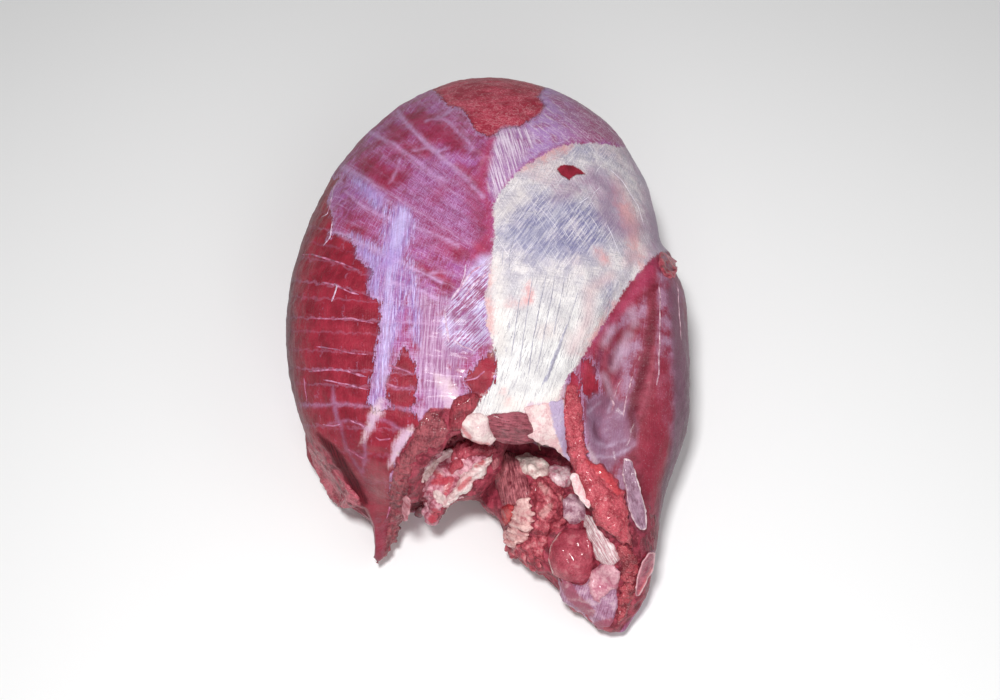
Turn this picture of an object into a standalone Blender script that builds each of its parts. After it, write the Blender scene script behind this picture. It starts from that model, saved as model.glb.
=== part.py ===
# Raw beef thick flank: one piece of meat lying on its bone side, its torn knee end towards -Y.
# Metres, +Z up, origin at the middle of the box's underside.
import math

import bmesh
import bpy
from mathutils import Euler, Vector, noise
from mathutils.bvhtree import BVHTree

# Driving dimensions of the trimmed joint
DOME_HALF_WIDTH = 0.1050
DOME_HALF_LENGTH = 0.1417
DOME_HALF_HEIGHT = 0.0791
DOME_CENTRE = Vector((-0.0130, 0.0415, 0.0644))
DOME_LEAN_DEG = -12.0
MEDIAL_HALF_WIDTH = 0.0313
MOUTH_HALF_WIDTH = 0.0460
MOUTH_DEPTH = 0.0690
MOUTH_HALF_HEIGHT = 0.0552

# How square the dome's outlines are: 2 is an ellipse, and the sagging underside is the squarest
PLAN_SQUARENESS = 2.12
TOP_SQUARENESS = 2.15
SAG_SQUARENESS = 3.1
DOME_TAPER = 0.03

# Grooves between the muscles, the slit beside the vessel, and the low swells of settled meat
CREASE_HALF_WIDTH = 0.0050
CREASE_DEPTH = 0.0024
SLIT_HALF_WIDTH = 0.0040
SLIT_DEPTH = 0.0036
CREASE_END_SHARE = 0.4
SWELL_LENGTH = 0.045
SWELL_HEIGHT = 0.0020
SMALL_SWELL_SHARE = 0.4

# Mesh fineness
VOXEL = 0.0030
RING_POINTS = 24
STEPS_PER_SPAN = 8
SMOOTH_ROUNDS = 6
TRIANGLE_TARGET = 8600

MEAT_RED = (0.42, 0.03, 0.05, 1.0)
RAY_START_HEIGHT = 1.0


def clear_scene():
    for old in list(bpy.data.objects):
        bpy.data.objects.remove(old)


def new_object(name, mesh_builder):
    mesh = bpy.data.meshes.new(name)
    mesh_builder.normal_update()
    mesh_builder.to_mesh(mesh)
    mesh_builder.free()
    body = bpy.data.objects.new(name, mesh)
    bpy.context.scene.collection.objects.link(body)
    return body


def rounded(value, fullness):
    """A cosine or sine pushed outwards, so that 2 keeps the circle and more squares it."""
    return math.copysign(abs(value) ** (2 / fullness), value)


def muscle(name, centre, radii, turn_deg=(0, 0, 0), plan=2.0, upper=2.0, lower=2.0, taper=0.0):
    """A rounded muscle belly. Plan, upper and lower square its outline; taper narrows its +Y end."""
    shape = bmesh.new()
    bmesh.ops.create_icosphere(shape, subdivisions=5, radius=1.0)
    turn = Euler([math.radians(a) for a in turn_deg]).to_matrix()
    for vert in shape.verts:
        across = math.hypot(vert.co.x, vert.co.y)
        heading = math.atan2(vert.co.y, vert.co.x)
        profile = upper if vert.co.z > 0 else lower
        reach = rounded(across, profile)
        x = reach * rounded(math.cos(heading), plan)
        y = reach * rounded(math.sin(heading), plan)
        z = rounded(vert.co.z, profile)
        narrow = 1 - taper * y
        local = Vector((x * radii[0] * narrow, y * radii[1], z * radii[2] * narrow))
        vert.co = Vector(centre) + turn @ local
    return new_object(name, shape)


def smooth_value(values, position):
    """Catmull-Rom interpolation of numbers or vectors, position counted in spans."""
    last = len(values) - 1
    span = min(int(position), last - 1)
    t = position - span
    before = values[max(span - 1, 0)]
    here = values[span]
    there = values[span + 1]
    after = values[min(span + 2, last)]
    return 0.5 * (
        2 * here
        + (there - before) * t
        + (2 * before - 5 * here + 4 * there - after) * t * t
        + (3 * here - before - 3 * there + after) * t * t * t
    )


def limb(name, route, half_widths, half_heights):
    """A strip or tongue of meat lofted along a route, with an oval section of the given half sizes."""
    points = [Vector(p) for p in route]
    count = (len(points) - 1) * STEPS_PER_SPAN
    centres = [smooth_value(points, i / STEPS_PER_SPAN) for i in range(count + 1)]
    shape = bmesh.new()
    rings = []
    for i, centre in enumerate(centres):
        forward = (centres[min(i + 1, count)] - centres[max(i - 1, 0)]).normalized()
        side = forward.cross(Vector((0, 0, 1))).normalized()
        rise = side.cross(forward)
        width = smooth_value(half_widths, i / STEPS_PER_SPAN)
        height = smooth_value(half_heights, i / STEPS_PER_SPAN)
        ring = []
        for k in range(RING_POINTS):
            angle = 2 * math.pi * k / RING_POINTS
            offset = side * width * math.cos(angle) + rise * height * math.sin(angle)
            ring.append(shape.verts.new(centre + offset))
        rings.append([shape.edges.new((ring[k], ring[(k + 1) % RING_POINTS])) for k in range(RING_POINTS)])
    for near, far in zip(rings, rings[1:]):
        bmesh.ops.bridge_loops(shape, edges=near + far)
    bmesh.ops.holes_fill(shape, edges=rings[0] + rings[-1], sides=RING_POINTS)
    bmesh.ops.recalc_face_normals(shape, faces=shape.faces)
    return new_object(name, shape)


def applied(body):
    """Replaces the object's mesh with what its modifiers make of it."""
    graph = bpy.context.evaluated_depsgraph_get()
    body.data = bpy.data.meshes.new_from_object(body.evaluated_get(graph))
    body.modifiers.clear()
    return body


def merged(name, pieces):
    """Overlapping pieces made one closed skin by a voxel remesh."""
    shape = bmesh.new()
    for piece in pieces:
        shape.from_mesh(piece.data)
        bpy.data.objects.remove(piece)
    body = new_object(name, shape)
    remesh = body.modifiers.new("one skin", "REMESH")
    remesh.mode = "VOXEL"
    remesh.voxel_size = VOXEL
    return applied(body)


def carved(body, cutters):
    for cutter in cutters:
        cutter.hide_render = True
        cutter.display_type = "WIRE"
        cut = body.modifiers.new(f"cut {cutter.name}", "BOOLEAN")
        cut.operation = "DIFFERENCE"
        cut.solver = "EXACT"
        cut.object = cutter
    applied(body)
    for cutter in cutters:
        bpy.data.objects.remove(cutter)
    return body


def upper_meat():
    """The domed outer muscles and the two side muscles that run down to the knee end."""
    dome = muscle(
        "dome",
        DOME_CENTRE,
        (DOME_HALF_WIDTH, DOME_HALF_LENGTH, DOME_HALF_HEIGHT),
        turn_deg=(0, 0, DOME_LEAN_DEG),
        plan=PLAN_SQUARENESS,
        upper=TOP_SQUARENESS,
        lower=SAG_SQUARENESS,
        taper=DOME_TAPER,
    )
    medial = limb(
        "medial muscle",
        [
            (0.0589, 0.0736, 0.0644),
            (0.0745, 0.0276, 0.0607),
            (0.0773, -0.0276, 0.0552),
            (0.0662, -0.0773, 0.0423),
            (0.0653, -0.1104, 0.0294),
            (0.0690, -0.1343, 0.0129),
        ],
        [0.0258, MEDIAL_HALF_WIDTH, 0.0285, 0.0239, 0.0193, 0.0083],
        [0.0350, 0.0497, 0.0460, 0.0368, 0.0258, 0.0092],
    )
    stump = muscle("vessel stump", (0.0938, 0.0534, 0.0718), (0.0083, 0.0110, 0.0074))
    lateral = limb(
        "lateral muscle",
        [
            (-0.0644, 0.0092, 0.0662),
            (-0.0754, -0.0368, 0.0552),
            (-0.0708, -0.0736, 0.0350),
            (-0.0685, -0.1067, 0.0083),
        ],
        [0.0460, 0.0331, 0.0166, 0.0055],
        [0.0552, 0.0442, 0.0276, 0.0074],
    )
    return [dome, medial, stump, lateral]


def inner_meat():
    """What the open knee end shows: the floor muscle, fatty chunk, loose rear flap and cut strip."""
    floor = limb(
        "floor muscle",
        [
            (0.0037, -0.0184, 0.0184),
            (0.0092, -0.0644, 0.0202),
            (0.0331, -0.0975, 0.0221),
            (0.0565, -0.1265, 0.0166),
            (0.0600, -0.1465, 0.0083),
        ],
        [0.0331, 0.0258, 0.0262, 0.0195, 0.0074],
        [0.0184, 0.0202, 0.0221, 0.0175, 0.0083],
    )
    lump = muscle(
        "inner lump", (0.0184, -0.0773, 0.0368), (0.0202, 0.0294, 0.0221), turn_deg=(-25, 0, 20)
    )
    chunk = limb(
        "fatty chunk",
        [
            (-0.0018, -0.0460, 0.0773),
            (-0.0166, -0.0699, 0.0607),
            (-0.0304, -0.0819, 0.0423),
            (-0.0377, -0.0846, 0.0258),
        ],
        [0.0147, 0.0156, 0.0129, 0.0064],
        [0.0129, 0.0120, 0.0101, 0.0055],
    )
    flap = limb(
        "rear flap",
        [(-0.0920, 0.0000, 0.0313), (-0.1003, -0.0405, 0.0230), (-0.0883, -0.0672, 0.0110)],
        [0.0166, 0.0129, 0.0092],
        [0.0184, 0.0129, 0.0083],
    )
    strip = limb(
        "cut strip",
        [
            (0.0380, -0.0530, 0.1060),
            (0.0410, -0.0670, 0.0920),
            (0.0480, -0.0810, 0.0770),
            (0.0560, -0.0960, 0.0700),
            (0.0650, -0.1120, 0.0600),
        ],
        [0.0060, 0.0090, 0.0120, 0.0125, 0.0055],
        [0.0040, 0.0050, 0.0060, 0.0060, 0.0030],
    )
    return [floor, lump, chunk, flap, strip]


def mouth_cutters():
    """The hollow left where the bone and kneecap came out."""
    mouth = muscle(
        "mouth",
        (-0.0018, -0.1196, 0.0736),
        (MOUTH_HALF_WIDTH, MOUTH_DEPTH, MOUTH_HALF_HEIGHT),
    )
    undercut = muscle(
        "undercut", (0.0092, -0.0782, 0.0662), (0.0331, 0.0497, 0.0276), turn_deg=(12, 0, 0)
    )
    channel = muscle("channel", (-0.0250, -0.1080, 0.0120), (0.0330, 0.0440, 0.0620))
    return [mouth, undercut, channel]


def crease(body, name, plan, half_width, depth):
    """A rounded groove cut along the top of the body, over the given (x, y) points."""
    tree = BVHTree.FromObject(body, bpy.context.evaluated_depsgraph_get())
    route = []
    for x, y in plan:
        surface = tree.ray_cast(Vector((x, y, RAY_START_HEIGHT)), Vector((0, 0, -1)))[0]
        route.append(surface + Vector((0, 0, half_width - depth)))
    end = half_width * CREASE_END_SHARE
    radii = [end] + [half_width] * (len(route) - 2) + [end]
    return limb(name, route, radii, radii)


def seams(body):
    """Where one muscle meets the next on the domed side."""
    lateral_plan = [
        (0.0000, 0.1070),
        (-0.0055, 0.0670),
        (-0.0060, 0.0330),
        (-0.0035, 0.0000),
        (-0.0045, -0.0400),
        (-0.0150, -0.0660),
    ]
    medial_plan = [
        (0.0860, 0.0400),
        (0.0690, 0.0090),
        (0.0550, -0.0190),
        (0.0410, -0.0440),
        (0.0320, -0.0610),
    ]
    slit_plan = [(0.0810, 0.0090), (0.0755, -0.0190), (0.0700, -0.0480), (0.0590, -0.0690)]
    return [
        crease(body, "lateral seam", lateral_plan, CREASE_HALF_WIDTH, CREASE_DEPTH),
        crease(body, "medial seam", medial_plan, CREASE_HALF_WIDTH, CREASE_DEPTH),
        crease(body, "medial slit", slit_plan, SLIT_HALF_WIDTH, SLIT_DEPTH),
    ]


def unevened(body):
    """Low swells over the whole skin, as in soft meat that has settled."""
    for vert in body.data.vertices:
        large = noise.noise(vert.co / SWELL_LENGTH)
        small = noise.noise(vert.co / (SWELL_LENGTH * SMALL_SWELL_SHARE))
        vert.co += vert.normal * (large + SMALL_SWELL_SHARE * small) * SWELL_HEIGHT
    return body


def decimated(body):
    smooth = body.modifiers.new("soft", "SMOOTH")
    smooth.factor = 0.5
    smooth.iterations = SMOOTH_ROUNDS
    applied(body)
    body.data.calc_loop_triangles()
    fewer = body.modifiers.new("fewer faces", "DECIMATE")
    fewer.ratio = TRIANGLE_TARGET / len(body.data.loop_triangles)
    fewer.use_collapse_triangulate = True
    return applied(body)


def stood_on_table(body):
    """Cuts the underside flat at the table, and moves the middle of the box's underside to the origin."""
    shape = bmesh.new()
    shape.from_mesh(body.data)
    everything = shape.verts[:] + shape.edges[:] + shape.faces[:]
    cut = bmesh.ops.bisect_plane(
        shape, geom=everything, plane_co=(0, 0, 0), plane_no=(0, 0, 1), clear_inner=True
    )
    rim = [item for item in cut["geom_cut"] if isinstance(item, bmesh.types.BMEdge)]
    bmesh.ops.holes_fill(shape, edges=rim, sides=0)
    bmesh.ops.triangulate(shape, faces=shape.faces)
    low = [min(v.co[i] for v in shape.verts) for i in range(3)]
    high = [max(v.co[i] for v in shape.verts) for i in range(3)]
    shift = Vector((-(low[0] + high[0]) / 2, -(low[1] + high[1]) / 2, -low[2]))
    bmesh.ops.translate(shape, vec=shift, verts=shape.verts)
    shape.to_mesh(body.data)
    shape.free()
    print("moved to the origin by", [round(offset, 4) for offset in shift])
    return body


def meat_material():
    material = bpy.data.materials.new("raw beef")
    material.use_nodes = True
    surface = material.node_tree.nodes["Principled BSDF"]
    surface.inputs["Base Color"].default_value = MEAT_RED
    surface.inputs["Roughness"].default_value = 0.32
    surface.inputs["Metallic"].default_value = 0.0
    return material


def build():
    clear_scene()
    outer = carved(merged("outer", upper_meat()), mouth_cutters())
    outer = carved(outer, seams(outer))
    flank = merged("thick_flank", [outer] + inner_meat())
    stood_on_table(decimated(unevened(flank)))
    flank.data.materials.append(meat_material())
    flank.data.shade_smooth()
    return flank


build()
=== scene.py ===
import math
import random

import bmesh
import bpy
import numpy as np
from mathutils import Matrix, Vector, noise
from mathutils.bvhtree import BVHTree


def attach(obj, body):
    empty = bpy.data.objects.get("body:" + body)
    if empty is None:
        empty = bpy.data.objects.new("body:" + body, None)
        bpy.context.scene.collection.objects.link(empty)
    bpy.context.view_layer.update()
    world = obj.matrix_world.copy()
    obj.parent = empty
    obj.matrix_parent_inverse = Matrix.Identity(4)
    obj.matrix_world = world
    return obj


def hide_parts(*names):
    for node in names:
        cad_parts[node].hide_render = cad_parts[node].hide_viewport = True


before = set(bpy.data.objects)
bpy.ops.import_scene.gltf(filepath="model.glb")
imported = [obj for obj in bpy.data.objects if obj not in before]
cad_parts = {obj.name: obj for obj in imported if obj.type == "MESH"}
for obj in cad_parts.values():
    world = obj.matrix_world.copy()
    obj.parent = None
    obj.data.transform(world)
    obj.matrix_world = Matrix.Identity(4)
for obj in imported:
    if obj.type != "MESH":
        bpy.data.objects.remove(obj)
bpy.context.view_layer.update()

# The look of one raw beef thick flank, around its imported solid. Metres, +Z up.
# Marks on the meat are placed in the 1000 x 700 picture and then carried onto the solid.

random.seed(7)

view = {
    "target": (0.0077, -0.0173, 0.0644),
    "distance": 0.782,
    "elevation": 60,
    "lens": 50,
    "sensor": 36,
    "pictureWidth": 1000,
    "pictureHeight": 700,
}

lookUp = math.radians(view["elevation"])
towardsCamera = Vector((0, -math.cos(lookUp), math.sin(lookUp)))
cameraPlace = Vector(view["target"]) + view["distance"] * towardsCamera
cameraRight = Vector((1, 0, 0))
cameraUp = towardsCamera.cross(cameraRight)
focalPixels = view["lens"] / view["sensor"] * view["pictureWidth"]
pixelSize = view["distance"] / focalPixels  # metres that one picture pixel covers on the meat
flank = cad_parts["thick_flank"]


def makeCamera():
    camera = bpy.data.objects.new("camera", bpy.data.cameras.new("camera"))
    bpy.context.scene.collection.objects.link(camera)
    camera.data.lens = view["lens"]
    camera.data.sensor_width = view["sensor"]
    camera.location = cameraPlace
    camera.rotation_mode = "QUATERNION"
    camera.rotation_quaternion = (-towardsCamera).to_track_quat("-Z", "Y")
    bpy.context.scene.camera = camera


def inPicture(points):  # where points of the model fall in the picture
    offset = points - np.array(cameraPlace)
    depth = -(offset @ np.array(towardsCamera))
    across = view["pictureWidth"] / 2 + focalPixels * (offset @ np.array(cameraRight)) / depth
    down = view["pictureHeight"] / 2 - focalPixels * (offset @ np.array(cameraUp)) / depth
    return np.column_stack((across, down))


def rayThrough(pixel):
    across = (pixel[0] - view["pictureWidth"] / 2) / focalPixels
    down = (view["pictureHeight"] / 2 - pixel[1]) / focalPixels
    return (-towardsCamera + cameraRight * across + cameraUp * down).normalized()


# Shader sums as plain expressions

class Wire:  # one output of a node
    def __init__(self, finish, socket):
        self.finish = finish
        self.socket = socket

    def __add__(self, other):
        return self.finish.maths("ADD", self, other)

    __radd__ = __add__

    def __sub__(self, other):
        return self.finish.maths("SUBTRACT", self, other)

    def __rsub__(self, other):
        return self.finish.maths("SUBTRACT", other, self)

    def __mul__(self, other):
        return self.finish.maths("MULTIPLY", self, other)

    __rmul__ = __mul__

    def between(self, low, high):  # 0 at low, 1 at high, smooth in between
        sockets = {"Value": self, "From Min": low, "From Max": high}
        return self.finish.node("MapRange", sockets, interpolation_type="SMOOTHSTEP")

    def larger(self, other):
        return self.finish.maths("MAXIMUM", self, other)


class Finish:  # one material and its nodes
    def __init__(self, name):
        self.material = bpy.data.materials.new(name)
        self.material.use_nodes = True
        self.tree = self.material.node_tree
        self.skin = self.tree.nodes["Principled BSDF"]

    def node(self, kind, sockets, output=0, **settings):
        made = self.tree.nodes.new("ShaderNode" + kind)
        for setting, value in settings.items():
            setattr(made, setting, value)
        for socket, value in sockets.items():
            self.feed(made.inputs[socket], value)
        return Wire(self, made.outputs[output])

    def feed(self, socket, value):
        if isinstance(value, Wire):
            self.tree.links.new(value.socket, socket)
        else:
            socket.default_value = value

    def maths(self, operation, first, second):
        return self.node("Math", {0: first, 1: second}, operation=operation)

    def blend(self, mask, first, second):  # colours: first where mask is 0, second where it is 1
        sockets = {"Factor": mask, "A": first, "B": second}
        return self.node("Mix", sockets, output="Result", data_type="RGBA")

    def shade(self, colour, amount):  # a colour darkened or lightened by a value
        return self.node("VectorMath", {0: colour, 3: amount}, operation="SCALE")

    def field(self, name):
        return self.node("Attribute", {}, output="Fac", attribute_name=name)

    def clouds(self, vector, size, detail=3, rough=0.55, dimensions="3D"):
        sockets = {"Vector": vector, "Scale": 1 / size, "Detail": detail, "Roughness": rough}
        return self.node("TexNoise", sockets, noise_dimensions=dimensions)

    def threads(self, vector, across, along, turn, detail=3, rough=0.6):  # noise drawn out along one way
        sockets = {"Vector": vector, "Rotation": (0, 0, math.radians(turn)), "Scale": (across, along, 1)}
        laid = self.node("Mapping", sockets, vector_type="TEXTURE")
        return self.clouds(laid, 1, detail, rough, dimensions="2D")

    def bump(self, height, depth):
        sockets = {"Height": height, "Distance": depth, "Strength": 1.0}
        return self.node("Bump", sockets, output="Normal")


def ink(red, green, blue):  # a screen colour, 0 to 255, as the linear one that nodes take
    parts = [value / 255 for value in (red, green, blue)]
    return (*[p / 12.92 if p < 0.04045 else ((p + 0.055) / 1.055) ** 2.4 for p in parts], 1)


# Meshes

def shownMesh(piece):  # the mesh that a piece's modifiers make
    graph = bpy.context.evaluated_depsgraph_get()
    return bpy.data.meshes.new_from_object(piece.evaluated_get(graph))


def newPiece(name, builder, finish=None):
    mesh = bpy.data.meshes.new(name)
    builder.to_mesh(mesh)
    builder.free()
    piece = bpy.data.objects.new(name, mesh)
    bpy.context.scene.collection.objects.link(piece)
    if finish:
        mesh.materials.append(finish)
    return piece


def remeshed(piece, size):
    modifier = piece.modifiers.new("one skin", "REMESH")
    modifier.mode = "VOXEL"
    modifier.voxel_size = size
    mesh = shownMesh(piece)
    piece.modifiers.clear()
    piece.data = mesh
    return piece


def pointsOf(mesh, normals=False):
    values = np.empty(len(mesh.vertices) * 3)
    (mesh.vertex_normals if normals else mesh.vertices).foreach_get("vector" if normals else "co", values)
    return values.reshape(-1, 3)


def setPoints(mesh, points):
    mesh.vertices.foreach_set("co", points.ravel())
    mesh.update()


def setField(mesh, name, values):
    kind = "FLOAT" if values.ndim == 1 else "FLOAT_VECTOR"
    attribute = mesh.attributes.new(name, kind, "POINT")
    attribute.data.foreach_set("value" if values.ndim == 1 else "vector", values.astype(np.float32).ravel())


def noiseOver(points, size):
    return np.array([noise.noise(Vector(point)) for point in points / size])


def averaged(mesh, values, rounds=2):  # each vertex takes the mean of its neighbours
    ends = np.empty(len(mesh.edges) * 2, dtype=np.int64)
    mesh.edges.foreach_get("vertices", ends)
    first, second = ends.reshape(-1, 2).T
    count = np.bincount(first, minlength=len(values)) + np.bincount(second, minlength=len(values))
    for _ in range(rounds):
        total = np.bincount(first, values[second], len(values))
        total = total + np.bincount(second, values[first], len(values))
        values = total / np.maximum(count, 1)
    return values


def easedPoints(mesh):
    return np.column_stack([averaged(mesh, values) for values in pointsOf(mesh).T])


# Marks in the picture, each as how far inside it a point is, in pixels

def toLine(spots, start, end, startWidth=0.0, endWidth=0.0):
    start, end = np.array(start, float), np.array(end, float)
    along = end - start
    share = np.clip((spots - start) @ along / max(along @ along, 1e-9), 0, 1)
    gap = np.linalg.norm(spots - start - share[:, None] * along, axis=1)
    return startWidth + share * (endWidth - startWidth) - gap


def stroke(spots, marks):  # marks are (x, y, half width)
    best = np.full(len(spots), -99.0)
    for near, far in zip(marks, marks[1:]):
        best = np.maximum(best, toLine(spots, near[:2], far[:2], near[2], far[2]))
    return best


def patch(spots, outline):
    inside = np.zeros(len(spots), bool)
    edge = np.full(len(spots), -99.0)
    x, y = spots[:, 0], spots[:, 1]
    for near, far in zip(outline, outline[1:] + outline[:1]):
        edge = np.maximum(edge, toLine(spots, near, far))
        crosses = (near[1] > y) != (far[1] > y)
        rise = far[1] - near[1] or 1e-9
        inside ^= crosses & (x < near[0] + (y - near[1]) * (far[0] - near[0]) / rise)
    return np.where(inside, -edge, edge)


def marked(spots, patches=(), strokes=()):
    best = np.full(len(spots), -40.0)
    for outline in patches:
        best = np.maximum(best, patch(spots, outline))
    for marks in strokes:
        best = np.maximum(best, stroke(spots, marks))
    return np.minimum(best, 40)


capOutline = [  # bare red meat at the hip end
    (436, 91), (448, 105), (464, 109), (470, 120), (477, 131), (487, 136), (497, 134), (501, 128),
    (522, 126), (531, 119), (541, 113), (545, 105), (537, 97), (544, 90), (556, 70), (520, 40),
    (450, 40), (420, 80),
]

# What covers the meat, read off the picture: patches of (x, y) spots, and strokes of (x, y, half width)
zones = {
    "silver": {"patches": [[(497, 198), (504, 187), (512, 178), (527, 164), (546, 153), (566, 144),
        (598, 143), (630, 148), (668, 120), (700, 150), (700, 240), (657, 254), (641, 270), (622, 293),
        (601, 328), (586, 352), (572, 372), (562, 388), (556, 410), (557, 446), (538, 446), (524, 436),
        (522, 418), (498, 414), (483, 417), (463, 421), (468, 408), (488, 391), (496, 375), (494, 346),
        (486, 322), (486, 294), (491, 262), (494, 232), (492, 213)]]},
    "bare": {"patches": [[(340, 178), (330, 192), (328, 203), (331, 214), (333, 226), (325, 244),
        (336, 234), (347, 237), (356, 248), (357, 259), (366, 266), (372, 271), (366, 291), (374, 300),
        (381, 304), (380, 328), (375, 352), (373, 372), (369, 385), (367, 402), (335, 400), (320, 404),
        (302, 402), (240, 430), (240, 180), (318, 180)], capOutline,
        [(494, 350), (480, 361), (465, 379), (471, 391), (454, 403), (451, 412), (460, 419), (477, 404),
        (488, 391), (496, 378), (497, 364)],
        [(405, 346), (393, 368), (386, 383), (387, 397), (400, 410), (414, 408), (417, 383),
        (414, 364)], [(581, 360), (590, 357), (597, 372), (599, 392), (590, 400), (583, 392)],
        [(572, 372), (580, 378), (581, 400), (583, 430), (590, 470), (562, 470), (560, 420),
        (564, 396)],
        [(270, 396), (330, 398), (350, 396), (366, 396), (374, 412), (398, 406), (412, 412), (424, 424),
        (408, 440), (396, 462), (390, 480), (392, 500), (400, 540), (396, 700), (240, 700),
        (240, 500)]]},
    "thin": {"patches": [[(358, 157), (370, 157), (388, 168), (402, 172), (398, 186), (390, 194),
        (374, 186), (362, 172)], [(384, 124), (396, 124), (410, 132), (404, 146), (390, 140)]],
        "strokes": [[(408, 122, 7), (426, 121, 9)],
            [(428, 138, 9), (440, 132, 11), (450, 140, 8), (462, 150, 6)],
            [(444, 190, 5), (456, 184, 6), (470, 190, 6), (478, 214, 6), (478, 244, 6)],
            [(410, 150, 6), (428, 154, 6)], [(458, 168, 5), (468, 172, 5), (472, 180, 5)],
            [(350, 228, 5), (362, 234, 6)], [(420, 220, 5), (440, 230, 7), (456, 250, 6)],
            [(404, 262, 5), (440, 276, 6), (450, 286, 4)],
            [(330, 160, 8), (345, 150, 8), (356, 140, 6)],
            [(590, 300, 8), (612, 310, 10), (634, 290, 10), (646, 270, 6)],
            [(600, 345, 9), (612, 380, 9), (604, 410, 8)], [(622, 340, 6), (634, 330, 6)]]},
    "bright": {"strokes": [[(399, 212, 8), (393, 236, 12), (394, 262, 12), (394, 291, 12),
        (389, 326, 11), (384, 352, 8), (378, 375, 6), (376, 396, 7), (371, 410, 5)],
        [(360, 250, 4), (374, 260, 8), (376, 282, 6), (378, 298, 5)],
        [(347, 173, 2), (362, 186, 4), (374, 200, 5), (386, 214, 6)],
        [(400, 210, 6), (408, 224, 9), (404, 240, 9)], [(409, 262, 4), (413, 300, 6), (417, 340, 4)],
        [(352, 236, 3), (368, 246, 5), (384, 254, 5)]]},
    "fat": {"strokes": [[(381, 402, 3), (377, 412, 6), (371, 424, 4), (366, 434, 2), (362, 442, 1)],
        [(411, 430, 4), (406, 437, 7), (401, 447, 8), (396, 456, 5), (391, 464, 2)],
        [(436, 376, 2), (445, 384, 7), (452, 398, 8), (449, 408, 4)],
        [(464, 426, 5), (474, 432, 8), (482, 440, 4)]],
        "patches": [[(524, 420), (528, 404), (545, 404), (553, 420), (556, 446), (538, 444),
            (524, 436)]]},
    "pink": {"strokes": [[(632, 254, 6), (640, 262, 5)], [(600, 253, 4), (605, 260, 4)],
        [(528, 286, 2), (530, 298, 5), (521, 304, 4), (508, 302, 3)],
        [(614, 194, 5), (626, 212, 7), (634, 236, 7), (630, 252, 5)], [(505, 394, 4), (509, 402, 4)],
        [(520, 166, 5), (545, 155, 5), (566, 146, 5)], [(612, 304, 3), (600, 330, 4), (584, 356, 4)],
        [(491, 270, 3), (488, 290, 4), (490, 330, 3)], [(540, 440, 8), (545, 415, 10), (566, 398, 4)]]},
    "blue": {"patches": [[(512, 205), (534, 194), (556, 194), (590, 202), (616, 214), (618, 232),
        (600, 250), (574, 262), (540, 262), (512, 250), (499, 234)]],
        "strokes": [[(564, 151, 2), (592, 151, 3), (606, 155, 2)], [(610, 284, 2), (608, 304, 2)]]},
    "grey": {"strokes": [[(567, 324, 0.6), (558, 350, 1.6), (546, 382, 0.8)],
        [(561, 340, 0.5), (552, 362, 1.0), (541, 388, 0.4)],
        [(512, 296, 0.4), (510, 320, 0.8), (506, 352, 0.4)]]},
    "wet": {"strokes": [[(360, 420, 8), (376, 450, 12), (380, 480, 10), (376, 530, 6)],
        [(402, 370, 8), (404, 404, 8)], [(476, 370, 8), (462, 396, 6)],
        [(484, 165, 5), (478, 184, 5), (484, 240, 5)]]},
    # painted shade: a dark slit between the rear flap and the tip of the left muscle
    "slitShade": {"strokes": [[(318, 434, 1), (331, 448, 5), (344, 468, 6), (356, 488, 6),
        (364, 502, 4)]]},
    "crimson": {"patches": [[(646, 260), (656, 262), (658, 290), (657, 330), (656, 356), (657, 400),
        (664, 424), (670, 450), (668, 480), (662, 510), (664, 550), (640, 550), (636, 500), (632, 470),
        (627, 450), (622, 424), (630, 402), (638, 380), (643, 350), (647, 320), (645, 290)]]},
    "lilac": {"patches": [[(662, 240), (641, 270), (622, 293), (601, 328), (586, 352), (570, 372),
        (580, 400), (582, 430), (590, 462), (600, 520), (640, 560), (656, 600), (800, 600),
        (800, 240)]]},
    "mauve": {"strokes": [[(632, 152, 8), (650, 180, 12), (655, 215, 12), (655, 250, 8),
        (676, 240, 20)], [(596, 176, 8), (612, 190, 8), (628, 225, 8)],
        [(560, 186, 5), (588, 182, 8), (604, 200, 6)]]},
    "hole": {"patches": [[(556, 169), (561, 165), (572, 165), (580, 169), (588, 176), (577, 174),
        (569, 180), (561, 175)]]},
    "topBare": {"patches": [capOutline]},
    "fan": {"patches": [[(493, 254), (492, 300), (488, 318), (490, 340), (478, 350), (462, 352),
        (448, 346), (440, 330), (446, 310), (458, 290), (472, 272)]]},
    "tan": {"strokes": [[(424, 300, 8), (432, 340, 16), (438, 370, 16), (436, 400, 14), (426, 414, 8)],
        [(440, 300, 6), (450, 350, 10), (456, 380, 6)], [(310, 412, 6), (335, 412, 8), (350, 410, 4)],
        [(414, 270, 4), (420, 330, 6), (424, 390, 6)]]},
    "net": {"patches": [[(418, 168), (440, 160), (476, 196), (482, 240), (440, 250), (408, 240),
        (398, 206)]]},
    # grey purple membrane of the right side, with painted shade that darkens it towards the bottom
    "sideMembraneAndShade": {"patches": [[(667, 275), (672, 330), (672, 380), (674, 410), (672, 440), (666, 470),
        (662, 500), (664, 560), (760, 560), (760, 260), (690, 260)]]},
    "upper": {"patches": [[(497, 133), (506, 127), (522, 127), (532, 120), (542, 114), (546, 105),
        (540, 96), (560, 60), (640, 80), (690, 140), (630, 147), (598, 141), (566, 142), (546, 151),
        (527, 162), (512, 176), (504, 185), (496, 198), (489, 190), (488, 170), (492, 150)]]},
    "striated": {"patches": [[(497, 133), (506, 128), (529, 127), (534, 141), (527, 153), (519, 168),
        (508, 180), (497, 200), (489, 190), (488, 170), (492, 152)]]},
    "mouth": {"patches": [[(462, 420), (483, 417), (498, 414), (522, 418), (526, 438), (538, 446),
        (556, 449), (572, 450), (590, 468), (606, 488), (622, 508), (634, 526), (646, 545), (656, 600),
        (620, 660), (500, 640), (400, 560), (408, 505), (412, 452), (430, 424), (450, 414)],
        [(430, 408), (460, 408), (460, 445), (420, 520), (400, 560), (380, 590), (384, 540), (388, 520),
        (390, 490), (396, 458), (412, 434)],
        [(300, 436), (314, 440), (326, 450), (340, 466), (352, 484), (362, 498), (366, 512), (352, 530),
        (320, 530), (290, 470)]]},
}

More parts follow.
